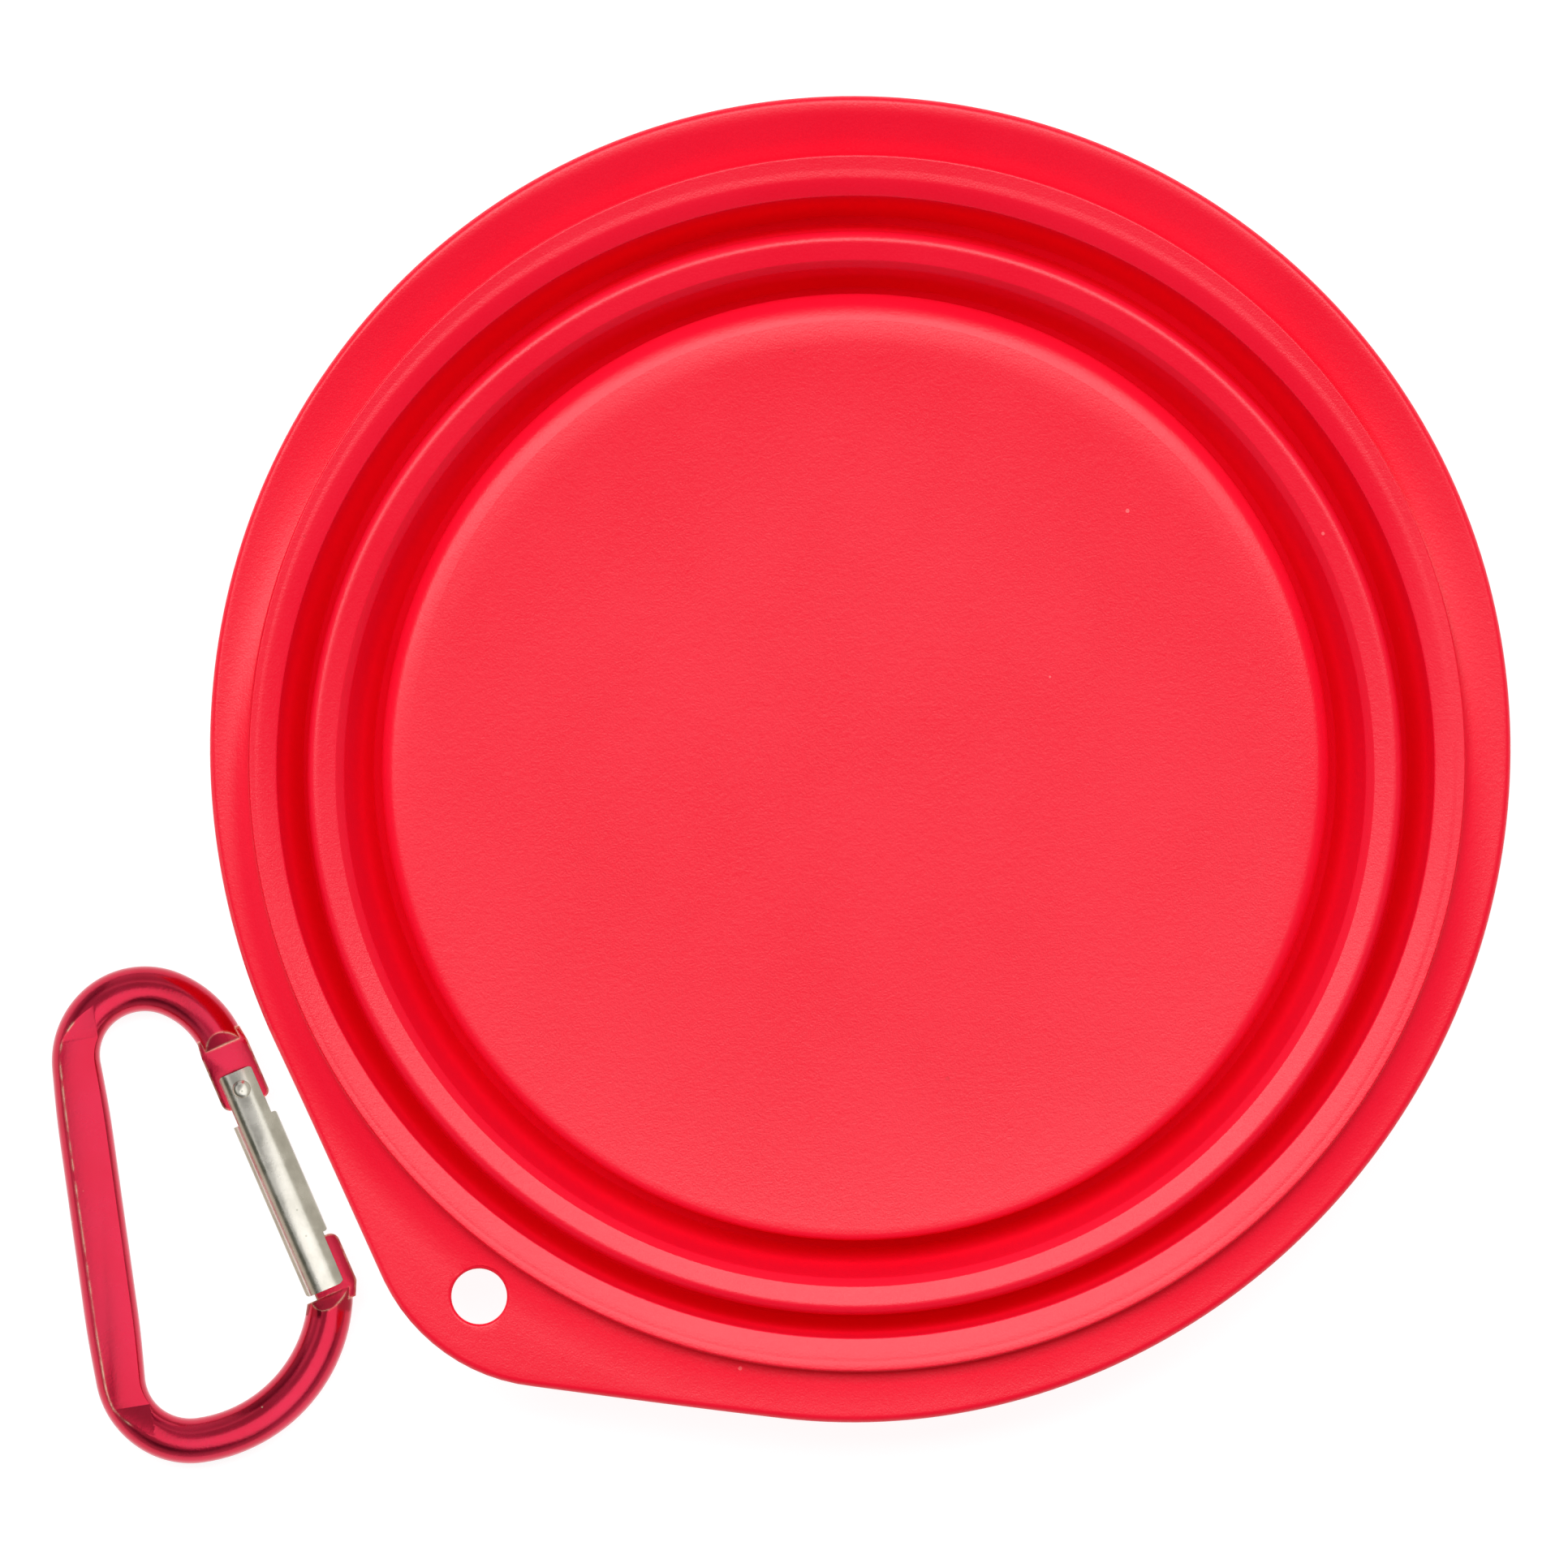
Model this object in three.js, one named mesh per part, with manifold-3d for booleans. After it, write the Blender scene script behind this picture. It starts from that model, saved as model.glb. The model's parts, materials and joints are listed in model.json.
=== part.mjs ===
// Collapsible silicone travel bowl, folded flat, with the spring clip that lies beside it.
// Millimetres, +Z up. The origin is the centre of the flat underside of the bowl's base.
import * as THREE from 'three';
import { mergeVertices } from 'three/addons/utils/BufferGeometryUtils.js';
import Module from 'manifold-3d';

const wasm = await Module();
wasm.setup();

// Bowl, widths from the floor outwards
const floorRadius = 46.9;
const innerGrooveWidth = 4.2;
const ridgeWidth = 2.8;
const outerGrooveWidth = 3.0;
const lipWidth = 3.2;
const flangeWidth = 4.9;

// Bowl, heights when it is folded flat
const baseLift = 8.6;
const foldedHeight = 15.5;
const baseThickness = 2.4;
const flangeDrop = 1.8;
const lipLean = 0.35;
const flangeThickness = 2.2;
const ridgeDrop = 1.2;
const ridgeLean = 0.3;
const footThickness = 1.4;
const ridgeCapHeight = 1.6;

// Bowl, walls, folds and edge rounds
const wallThickness = 2.4;
const foldThickness = 0.9;
const foldFlare = 0.4;
const valleyWidth = 0.5;
const shoulderRound = 2.2;
const lipRound = 1.5;
const footRound = 0.8;
const ridgeRound = 1.4;
const flangeEdgeRound = 0.8;
const foldSeam = 0.2;
const foldGroundGap = 0.3;

// Hang tab on the flange
const tabAngle = THREE.MathUtils.degToRad(234.6);
const tabReach = 6.3;
const tabTipRadius = 19.0;
const tabHoleDiameter = 5.8;
const tabHoleSetback = 7.0;

// Clip body, the bent rod
const rodDiameter = 4.5;
const spineLength = 31.4;
const spineWidth = 5.36;
const topBendRadius = 6.85;
const outTurnRadius = 9.5;
const topBendSweep = THREE.MathUtils.degToRad(120);
const outTurnSweep = THREE.MathUtils.degToRad(45);
const bottomBendRadius = 7.0;
const noseBendRadius = 15.05;
const noseBendSweep = THREE.MathUtils.degToRad(80.5);
const pressTaper = 4.0;

// Clip body, the flat pressed into both faces of the spine
const flatDepth = 0.65;
const flatEdge = -2.2;
const flatWidth = 4.75;
const flatRunOut = 2.4;
const flatOverrun = 3.2;

// Clip body, the two flat tongues that the gate closes over
const tongueThickness = 2.6;
const tongueWidth = 4.9;
const rivetSetback = 4.76;
const tongueTail = 1.6;
const tongueCorner = 0.6;
const noseLength = 5.6;
const noseInset = 1.45;
const noseOutset = 2.9;

// Clip gate, a rolled sheet sleeve
const gateWidth = 4.6;
const gateHeight = 4.2;
const gateCorner = 1.7;
const sheetThickness = 0.6;
const gateEndGap = 0.6;
const earReach = 1.85;
const earLength = 5.1;
const earWidth = 3.6;
const noseWidth = 4.0;
const faceClearance = 0.2;
const noseClearance = 0.4;
const seamSlit = 0.5;
const springSeatPlace = 12.0;

// Rivet, plunger and spring in the gate
const rivetDiameter = 1.7;
const rivetProud = 0.1;
const rivetCrown = 0.3;
const rivetClearance = 0.1;
const seatGap = 0.3;
const plungerHeadDiameter = 2.4;
const plungerHeadLength = 1.2;
const plungerCrown = 0.4;
const plungerStemDiameter = 1.2;
const plungerStemLength = 3.0;
const springWire = 0.35;
const springMeanDiameter = 1.9;
const springTurns = 7;

// Where the clip lies, seen from the bowl's axis
const clipAngle = THREE.MathUtils.degToRad(211.12);
const clipStandoff = 22.8;
const clipTurn = THREE.MathUtils.degToRad(8);

// Facets
const ringFacets = 80;
const rodFacets = 16;
const holeFacets = 24;
const bendStep = THREE.MathUtils.degToRad(11);
const roundSteps = 4;
const smallRoundSteps = 2;
const springStepsPerTurn = 10;
const springSides = 6;
const mergeTolerance = 1e-4;

// Heights and radii that follow from the sizes above
const tableZ = -baseLift;
const lipZ = tableZ + foldedHeight;
const flangeZ = lipZ - flangeDrop;
const ridgeZ = lipZ - ridgeDrop;
const footZ = tableZ + footThickness;
const ridgeInner = floorRadius + innerGrooveWidth;
const ridgeOuter = ridgeInner + ridgeWidth;
const lipInner = ridgeOuter + outerGrooveWidth;
const lipOuter = lipInner + lipWidth;
const flangeRadius = lipOuter + flangeWidth;
const ridgeRoundCentre = ridgeOuter - ridgeRound;
const ridgeRoundZ = ridgeZ - ridgeRound;

const silicone = { color: 0xf73446, roughness: 0.62, metalness: 0 };
const anodised = { color: 0xd0203f, roughness: 0.22, metalness: 0.9 };
const plated = { color: 0xbdb6a8, roughness: 0.3, metalness: 1 };
const steel = { color: 0x9a9a98, roughness: 0.35, metalness: 1 };

function solidOf(geometry) {
  const bare = geometry.index ? geometry.toNonIndexed() : geometry.clone();
  bare.deleteAttribute('normal');
  bare.deleteAttribute('uv');
  const merged = mergeVertices(bare, mergeTolerance);
  const vertProperties = new Float32Array(merged.attributes.position.array);
  const triVerts = new Uint32Array(merged.index.array);
  return new wasm.Manifold(new wasm.Mesh({ numProp: 3, vertProperties, triVerts }));
}

function meshOf(solid, name, finish) {
  const { vertProperties, triVerts } = solid.getMesh();
  const geometry = new THREE.BufferGeometry();
  geometry.setAttribute('position', new THREE.BufferAttribute(new Float32Array(vertProperties), 3));
  geometry.setIndex(new THREE.BufferAttribute(new Uint32Array(triVerts), 1));
  geometry.computeVertexNormals();
  const mesh = new THREE.Mesh(geometry, new THREE.MeshStandardMaterial(finish));
  mesh.name = name;
  return mesh;
}

// A ring turned about the bowl's axis. The profile runs counter-clockwise in radius and height.
function turned(profile, facets = ringFacets) {
  const points = profile.map(([radius, height]) => new THREE.Vector2(radius, height));
  if (profile[0][0] > 0) points.push(points[0].clone());
  return solidOf(new THREE.LatheGeometry(points, facets).rotateX(Math.PI / 2));
}

function arc(centreX, centreY, radius, from, to, steps) {
  return Array.from({ length: steps + 1 }, (_, i) => {
    const angle = from + ((to - from) * i) / steps;
    return [centreX + radius * Math.cos(angle), centreY + radius * Math.sin(angle)];
  });
}

function shapeOf(points) {
  return new THREE.Shape(points.map(([x, y]) => new THREE.Vector2(x, y)));
}

// A plate of the given outline, square to Z, between two heights
function plate(outline, low, high) {
  const geometry = new THREE.ExtrudeGeometry(shapeOf(outline), { depth: high - low, bevelEnabled: false });
  return solidOf(geometry.translate(0, 0, low));
}

function block(lowCorner, highCorner) {
  const low = new THREE.Vector3(...lowCorner);
  const high = new THREE.Vector3(...highCorner);
  const size = high.clone().sub(low);
  const centre = low.clone().add(high).multiplyScalar(0.5);
  return solidOf(new THREE.BoxGeometry(size.x, size.y, size.z).translate(centre.x, centre.y, centre.z));
}

// A closed tube through stations along a flat path, each with its own half width and half height
function lofted(stations, sides) {
  const positions = [];
  const indices = [];
  for (const { x, y, heading, halfWidth, halfHeight } of stations) {
    for (let j = 0; j < sides; j += 1) {
      const turn = (2 * Math.PI * j) / sides;
      const aside = halfWidth * Math.cos(turn);
      positions.push(
        x - aside * Math.sin(heading),
        y + aside * Math.cos(heading),
        halfHeight * Math.sin(turn),
      );
    }
  }
  const first = stations[0];
  const last = stations[stations.length - 1];
  const firstCentre = positions.length / 3;
  positions.push(first.x, first.y, 0, last.x, last.y, 0);
  const lastRing = (stations.length - 1) * sides;
  for (let j = 0; j < sides; j += 1) {
    const next = (j + 1) % sides;
    for (let ring = 0; ring < lastRing; ring += sides) {
      indices.push(ring + j, ring + next, ring + sides + j);
      indices.push(ring + sides + j, ring + next, ring + sides + next);
    }
    indices.push(firstCentre, next, j);
    indices.push(firstCentre + 1, lastRing + j, lastRing + next);
  }
  const geometry = new THREE.BufferGeometry();
  geometry.setAttribute('position', new THREE.Float32BufferAttribute(positions, 3));
  geometry.setIndex(indices);
  return solidOf(geometry);
}

// Bowl rim: lip, upper wall and foot in one turned ring, with the flange, its tab and the hang hole
const upperFoldFoot = ridgeOuter + foldFlare;
const upperFootInner = upperFoldFoot + foldSeam;
const upperValley = upperFootInner + valleyWidth;
const upperFootOuter = upperValley + wallThickness;

function flangeOutline() {
  const tipCentre = flangeRadius + tabReach - tabTipRadius;
  const spread = Math.acos((flangeRadius - tabTipRadius) / tipCentre);
  const tip = arc(tipCentre, 0, tabTipRadius, -spread, spread, holeFacets / 2);
  const round = arc(0, 0, flangeRadius, spread, 2 * Math.PI - spread, ringFacets);
  return tip.concat(round);
}

function rimSolid() {
  const wallShare = (flangeZ - flangeThickness - footZ) / (lipZ - footZ);
  const wallInner = upperValley + (lipInner - upperValley) * wallShare;
  const wallOuter = wallInner + wallThickness;
  const flangeMidZ = flangeZ - flangeThickness / 2;
  const ring = turned([
    [upperFootInner, tableZ],
    [upperFootOuter - footRound, tableZ],
    [upperFootOuter, tableZ + footRound],
    [wallOuter, flangeZ - flangeThickness],
    [wallOuter, flangeMidZ],
    [lipOuter, flangeMidZ],
    ...arc(lipOuter - lipRound, lipZ - lipRound, lipRound, 0, Math.PI / 2, roundSteps),
    [lipInner, lipZ - lipLean],
    [upperValley, footZ],
    [upperFootInner, footZ],
  ]);
  const shape = shapeOf(flangeOutline());
  const bore = (wallInner + wallOuter) / 2;
  shape.holes.push(new THREE.Path(arc(0, 0, bore, 0, -2 * Math.PI, ringFacets)
    .slice(0, ringFacets).map(([x, y]) => new THREE.Vector2(x, y))));
  const flange = solidOf(new THREE.ExtrudeGeometry(shape, {
    depth: flangeThickness - 2 * flangeEdgeRound,
    bevelThickness: flangeEdgeRound,
    bevelSize: flangeEdgeRound,
    bevelOffset: -flangeEdgeRound,
    bevelSegments: smallRoundSteps,
  }).translate(0, 0, flangeZ - flangeThickness + flangeEdgeRound));
  const holePlace = flangeRadius + tabReach - tabHoleSetback;
  const hole = plate(
    arc(holePlace, 0, tabHoleDiameter / 2, 0, 2 * Math.PI, holeFacets).slice(0, holeFacets),
    flangeZ - 2 * flangeThickness,
    flangeZ + flangeThickness,
  );
  return ring.add(flange.subtract(hole).rotate([0, 0, THREE.MathUtils.radToDeg(tabAngle)]));
}

// Where a round starts, on the part that stays when its outer edge is taken off by the inset
function roundAngle(inset, round) {
  return Math.acos((round - inset) / round);
}

// Upper fold: the thin web between the rim's foot and the middle wall, up to the ridge's outer round
function upperFoldSolid() {
  const foot = tableZ + foldGroundGap;
  return turned([
    [upperFoldFoot - foldThickness, foot],
    [upperFoldFoot, foot],
    ...arc(ridgeRoundCentre, ridgeRoundZ, ridgeRound, 0, roundAngle(foldThickness, ridgeRound), roundSteps),
  ]);
}

// Middle wall: the ridge cap, the leaning wall and its foot
const lowerFoldFoot = floorRadius + foldFlare;
const lowerFootInner = lowerFoldFoot + foldSeam;
const lowerValley = lowerFootInner + valleyWidth;
const lowerFootOuter = lowerValley + wallThickness;

function middleWallSolid() {
  const capInset = foldThickness + foldSeam;
  const capOuter = ridgeOuter - capInset;
  const capStart = roundAngle(capInset, ridgeRound);
  return turned([
    [lowerFootInner, tableZ],
    [lowerFootOuter - footRound, tableZ],
    [lowerFootOuter, tableZ + footRound],
    [capOuter, ridgeZ - ridgeCapHeight],
    ...arc(ridgeRoundCentre, ridgeRoundZ, ridgeRound, capStart, Math.PI / 2, smallRoundSteps),
    [ridgeInner, ridgeZ - ridgeLean],
    [lowerValley, footZ],
    [lowerFootInner, footZ],
  ]);
}

// Lower fold and base: the floor's round shoulder runs across both
const shoulderCentre = floorRadius - shoulderRound;
const shoulderZ = baseThickness - shoulderRound;

function lowerFoldSolid() {
  const foot = tableZ + foldGroundGap;
  return turned([
    [lowerFoldFoot - foldThickness, foot],
    [lowerFoldFoot, foot],
    ...arc(shoulderCentre, shoulderZ, shoulderRound, 0, roundAngle(foldThickness, shoulderRound), roundSteps),
  ]);
}

function baseFloorSolid() {
  const inset = foldThickness + foldSeam;
  const start = roundAngle(inset, shoulderRound);
  return turned([
    [0, 0],
    [floorRadius - inset, 0],
    ...arc(shoulderCentre, shoulderZ, shoulderRound, start, Math.PI / 2, smallRoundSteps),
    [0, baseThickness],
  ]);
}

// Clip: the rod's path is walked from the middle of the spine, both ways, as straight runs and bends
function bend(start, radius, sweep, side) {
  const centreX = start.x - side * radius * Math.sin(start.heading);
  const centreY = start.y + side * radius * Math.cos(start.heading);
  const steps = Math.ceil(sweep / bendStep);
  return Array.from({ length: steps }, (_, i) => {
    const heading = start.heading + (side * sweep * (i + 1)) / steps;
    const x = centreX + side * radius * Math.sin(heading);
    const y = centreY - side * radius * Math.cos(heading);
    return { x, y, heading };
  });
}

function branch(heading, bends) {
  const side = heading > 0 ? -1 : 1;
  const path = [{ x: 0, y: (Math.sign(heading) * spineLength) / 2, heading }];
  for (const [radius, sweep] of bends) path.push(...bend(path[path.length - 1], radius, sweep, side));
  return path;
}

const topBranch = branch(Math.PI / 2, [[topBendRadius, topBendSweep], [outTurnRadius, outTurnSweep]]);
const bottomBranch = branch(-Math.PI / 2, [[bottomBendRadius, Math.PI / 2], [noseBendRadius, noseBendSweep]]);
const pivotEnd = topBranch[topBranch.length - 1];
const noseEnd = bottomBranch[bottomBranch.length - 1];

// The rod runs on a little past each end, to be cut square to the gate
function pastEnd({ x, y, heading }) {
  return { x: x + (rodDiameter / 2) * Math.cos(heading), y: y + (rodDiameter / 2) * Math.sin(heading) };
}

function rodStations() {
  const halfHeight = rodDiameter / 2;
  const round = { halfWidth: halfHeight, halfHeight };
  const pressed = { halfWidth: spineWidth / 2, halfHeight };
  const turnedBack = topBranch.map(({ x, y, heading }) => ({ x, y, heading: heading + Math.PI, ...round }));
  const spine = [spineLength / 2 - pressTaper, pressTaper - spineLength / 2]
    .map((y) => ({ x: 0, y, heading: -Math.PI / 2, ...pressed }));
  const onward = bottomBranch.map((place) => ({ ...place, ...round }));
  const pastPivot = { ...pastEnd(pivotEnd), heading: pivotEnd.heading + Math.PI, ...round };
  const pastNose = { ...pastEnd(noseEnd), heading: noseEnd.heading, ...round };
  return [pastPivot, ...turnedBack.reverse(), ...spine, ...onward, pastNose];
}

// The gate's axis runs from one rod end to the other: x across it, away from the spine, and z along it
const gateSpan = Math.hypot(noseEnd.x - pivotEnd.x, noseEnd.y - pivotEnd.y);
const gateAlong = new THREE.Vector3(noseEnd.x - pivotEnd.x, noseEnd.y - pivotEnd.y, 0).normalize();
const gateUp = new THREE.Vector3(0, 0, 1);
const gateAcross = new THREE.Vector3().crossVectors(gateUp, gateAlong);
const rivetPlace = new THREE.Vector3(pivotEnd.x, pivotEnd.y, 0).addScaledVector(gateAlong, rivetSetback);
const gateFrame = new THREE.Matrix4().makeBasis(gateAcross, gateUp, gateAlong).setPosition(rivetPlace);
const noseShoulder = gateSpan - rivetSetback;
const rivetHoleRadius = rivetDiameter / 2 + rivetClearance;

function uprightPin(radius, halfHeight) {
  return solidOf(new THREE.CylinderGeometry(radius, radius, 2 * halfHeight, holeFacets));
}

function inClip(gateSolid) {
  return gateSolid.transform(gateFrame.toArray());
}

// A tongue lies flat in the gate's frame: its outline is drawn across and along, its thickness is upright
function tongue(outline) {
  return plate(outline, -tongueThickness / 2, tongueThickness / 2).rotate([90, 0, 0]);
}

function clipBodySolid() {
  const sunk = rodDiameter / 4;
  const rodHalf = rodDiameter / 2;
  const half = tongueWidth / 2;
  const cornerX = half - tongueCorner;
  const cornerZ = tongueTail - tongueCorner;
  const pivotTongue = tongue([
    [-rodHalf, -rivetSetback - sunk],
    [rodHalf, -rivetSetback - sunk],
    [half, tongueCorner - rivetSetback],
    ...arc(cornerX, cornerZ, tongueCorner, 0, Math.PI / 2, smallRoundSteps),
    ...arc(-cornerX, cornerZ, tongueCorner, Math.PI / 2, Math.PI, smallRoundSteps),
    [-half, tongueCorner - rivetSetback],
  ]);
  const noseTip = noseShoulder - noseLength;
  const noseTongue = tongue([
    [-noseInset, noseTip],
    [noseOutset - tongueCorner, noseTip],
    [noseOutset, noseTip + tongueCorner],
    [noseOutset, noseShoulder - tongueCorner],
    [rodHalf, noseShoulder + sunk],
    [-noseInset, noseShoulder + sunk],
  ]);
  const floor = rodDiameter / 2 - flatDepth;
  const rise = 2 * flatDepth;
  const slope = (flatRunOut * rise) / flatDepth;
  const reach = spineLength / 2 + flatOverrun;
  const flatOutline = shapeOf([
    [-reach, floor],
    [reach, floor],
    [reach + slope, floor + rise],
    [-reach - slope, floor + rise],
  ]);
  const flatGeometry = new THREE.ExtrudeGeometry(flatOutline, {
    depth: flatWidth,
    bevelEnabled: false,
  });
  const flatBasis = new THREE.Matrix4().makeBasis(
    new THREE.Vector3(0, 1, 0),
    new THREE.Vector3(0, 0, 1),
    new THREE.Vector3(1, 0, 0),
  );
  const topFlat = solidOf(flatGeometry.applyMatrix4(flatBasis).translate(flatEdge, 0, 0));
  const rivetHole = uprightPin(rivetHoleRadius, rodDiameter);
  const aside = 2 * rodDiameter;
  const pivotTrim = block([-aside, -aside, -rivetSetback], [aside, aside, 0]);
  const noseTrim = block([-aside, -aside, noseTip], [aside, aside, noseShoulder]);
  return lofted(rodStations(), rodFacets)
    .subtract(inClip(pivotTrim))
    .subtract(inClip(noseTrim))
    .add(inClip(pivotTongue.subtract(rivetHole)))
    .add(inClip(noseTongue))
    .subtract(topFlat)
    .subtract(topFlat.mirror([0, 0, 1]));
}

function sleeveOutline(width, height, corner) {
  const x = width / 2 - corner;
  const y = height / 2 - corner;
  return [
    ...arc(x, y, corner, 0, Math.PI / 2, roundSteps),
    ...arc(-x, y, corner, Math.PI / 2, Math.PI, roundSteps),
    ...arc(-x, -y, corner, Math.PI, 1.5 * Math.PI, roundSteps),
    ...arc(x, -y, corner, 1.5 * Math.PI, 2 * Math.PI, roundSteps),
  ];
}

function gateSolid() {
  const start = -earReach;
  const end = noseShoulder - gateEndGap;
  const tubeStart = earLength - earReach;
  const noseCut = noseShoulder - noseLength - noseClearance;
  const outside = gateWidth;
  const faceRoom = tongueThickness / 2 + faceClearance;
  const earHalf = earWidth / 2;
  const noseHalf = noseWidth / 2;
  const boreWidth = gateWidth - 2 * sheetThickness;
  const boreHeight = gateHeight - 2 * sheetThickness;
  const boreCorner = gateCorner - sheetThickness;
  const seatHalf = boreWidth / 2;
  const springSeat = block(
    [-seatHalf, -faceRoom, springSeatPlace],
    [seatHalf, faceRoom, springSeatPlace + sheetThickness],
  );
  return plate(sleeveOutline(gateWidth, gateHeight, gateCorner), start, end)
    .subtract(plate(sleeveOutline(boreWidth, boreHeight, boreCorner), start - outside, end + outside))
    .add(springSeat)
    .subtract(block([earHalf, -outside, start - outside], [outside, outside, tubeStart]))
    .subtract(block([-outside, -outside, start - outside], [-earHalf, outside, tubeStart]))
    .subtract(block([-outside, -faceRoom, start - outside], [outside, faceRoom, tubeStart]))
    .subtract(block([noseHalf, -outside, noseCut], [outside, outside, end + outside]))
    .subtract(block([-noseInset - faceClearance, -faceRoom, noseCut], [outside, faceRoom, end + outside]))
    .subtract(block([-outside, -seamSlit / 2, start - outside], [-noseInset, seamSlit / 2, end + outside]))
    .subtract(uprightPin(rivetHoleRadius, gateHeight));
}

function rivetSolid() {
  const radius = rivetDiameter / 2;
  const half = gateHeight / 2 + rivetProud;
  const profile = [
    [0, rivetProud - half],
    [radius / 2, -half],
    [radius, rivetCrown - half],
    [radius, half - rivetCrown],
    [radius / 2, half],
    [0, half - rivetProud],
  ];
  return turned(profile, holeFacets);
}

// Plunger and spring run along the gate, behind the pivot tongue
const plungerStart = tongueTail + seatGap;
const springStart = plungerStart + plungerHeadLength + seatGap;
const springEnd = springSeatPlace - seatGap;

function plungerSolid() {
  const head = plungerHeadDiameter / 2;
  const stem = plungerStemDiameter / 2;
  const neck = plungerStart + plungerHeadLength;
  return turned([
    [0, plungerStart],
    [head - plungerCrown, plungerStart],
    [head, plungerStart + plungerCrown],
    [head, neck],
    [stem, neck],
    [stem, neck + plungerStemLength],
    [0, neck + plungerStemLength],
  ], holeFacets);
}

class SpringPath extends THREE.Curve {
  getPoint(share, target = new THREE.Vector3()) {
    const turn = 2 * Math.PI * springTurns * share;
    const radius = springMeanDiameter / 2;
    const length = springEnd - springStart - springWire;
    return target.set(
      radius * Math.cos(turn),
      radius * Math.sin(turn),
      springStart + springWire / 2 + length * share,
    );
  }
}

function springSolid() {
  const section = shapeOf(arc(0, 0, springWire / 2, 0, 2 * Math.PI, springSides).slice(0, springSides));
  return solidOf(new THREE.ExtrudeGeometry(section, {
    steps: springTurns * springStepsPerTurn,
    extrudePath: new SpringPath(),
    bevelEnabled: false,
  }));
}

const bowl = new THREE.Group();
bowl.add(
  meshOf(rimSolid(), 'rim', silicone),
  meshOf(upperFoldSolid(), 'upper_fold', silicone),
  meshOf(middleWallSolid(), 'middle_wall', silicone),
  meshOf(lowerFoldSolid(), 'lower_fold', silicone),
  meshOf(baseFloorSolid(), 'base_floor', silicone),
);

const gateParts = new THREE.Group();
gateParts.add(
  meshOf(gateSolid(), 'clip_gate', plated),
  meshOf(plungerSolid(), 'gate_plunger', steel),
  meshOf(springSolid(), 'gate_spring', steel),
);
const rivet = meshOf(rivetSolid().rotate([90, 0, 0]), 'gate_rivet', plated);
gateParts.add(rivet);
gateParts.quaternion.setFromRotationMatrix(gateFrame);
gateParts.position.copy(rivetPlace);

const clip = new THREE.Group();
clip.add(meshOf(clipBodySolid(), 'clip_body', anodised), gateParts);
const clipReach = flangeRadius + clipStandoff;
clip.position.set(
  clipReach * Math.cos(clipAngle),
  clipReach * Math.sin(clipAngle),
  tableZ + rodDiameter / 2,
);
clip.rotation.z = clipTurn;

const part = new THREE.Group();
part.add(bowl, clip);
export default part;
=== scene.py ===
import json
import math

import bmesh
import bpy
from mathutils import Matrix, Vector


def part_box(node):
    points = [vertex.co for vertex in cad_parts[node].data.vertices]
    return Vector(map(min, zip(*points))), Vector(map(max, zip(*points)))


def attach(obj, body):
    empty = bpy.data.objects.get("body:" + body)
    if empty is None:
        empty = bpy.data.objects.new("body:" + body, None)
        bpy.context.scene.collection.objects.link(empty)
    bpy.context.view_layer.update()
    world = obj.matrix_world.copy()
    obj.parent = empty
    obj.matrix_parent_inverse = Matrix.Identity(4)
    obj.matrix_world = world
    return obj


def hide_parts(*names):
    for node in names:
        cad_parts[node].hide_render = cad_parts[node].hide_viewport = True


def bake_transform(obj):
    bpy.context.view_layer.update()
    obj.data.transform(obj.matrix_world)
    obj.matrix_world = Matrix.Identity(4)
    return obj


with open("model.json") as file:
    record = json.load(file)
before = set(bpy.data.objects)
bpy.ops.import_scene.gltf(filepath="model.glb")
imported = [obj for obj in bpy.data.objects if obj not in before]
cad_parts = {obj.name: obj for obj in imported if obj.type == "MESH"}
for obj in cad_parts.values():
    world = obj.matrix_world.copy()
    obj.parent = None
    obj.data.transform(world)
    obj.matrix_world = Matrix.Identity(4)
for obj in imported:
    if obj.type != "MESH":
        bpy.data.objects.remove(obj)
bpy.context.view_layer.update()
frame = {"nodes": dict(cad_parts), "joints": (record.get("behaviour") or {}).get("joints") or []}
mm = 0.001
fullTurn = 2 * math.pi
scene = bpy.context.scene
print("frame loaded:", len(frame["nodes"]), "nodes")


# Mesh helpers, all drawn in millimetres

def linkPiece(name, build, material, sharpAngle=32):
    data = bpy.data.meshes.new(name)
    bmesh.ops.recalc_face_normals(build, faces=build.faces)
    build.to_mesh(data)
    build.free()
    data.transform(Matrix.Scale(mm, 4))
    piece = bpy.data.objects.new(name, data)
    scene.collection.objects.link(piece)
    return finishPiece(piece, material, sharpAngle)


def finishPiece(piece, material, sharpAngle=32):
    count = len(piece.data.polygons)
    piece.data.materials.clear()
    piece.data.materials.append(material)
    piece.data.polygons.foreach_set("use_smooth", [True] * count)
    piece.data.polygons.foreach_set("material_index", [0] * count)
    piece.data.set_sharp_from_angle(angle=math.radians(sharpAngle))
    return piece


def roundedPath(corners, step=math.radians(11)):
    # Each corner is (x, y, radius): the radius becomes an arc tangent to both sides
    path = []
    for i, (x, y, radius) in enumerate(corners):
        here = Vector((x, y))
        if radius <= 0:
            path.append(here)
            continue
        before = (Vector(corners[i - 1][:2]) - here).normalized()
        after = (Vector(corners[(i + 1) % len(corners)][:2]) - here).normalized()
        half = before.angle(after) / 2
        centre = here + (before + after).normalized() * (radius / math.sin(half))
        start = here + before * (radius / math.tan(half)) - centre
        sweep = math.pi - 2 * half
        turn = math.copysign(sweep, before.cross(after)) * -1
        steps = max(2, math.ceil(sweep / step))
        for k in range(steps + 1):
            path.append(centre + Matrix.Rotation(turn * k / steps, 2) @ start)
    return path


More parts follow.
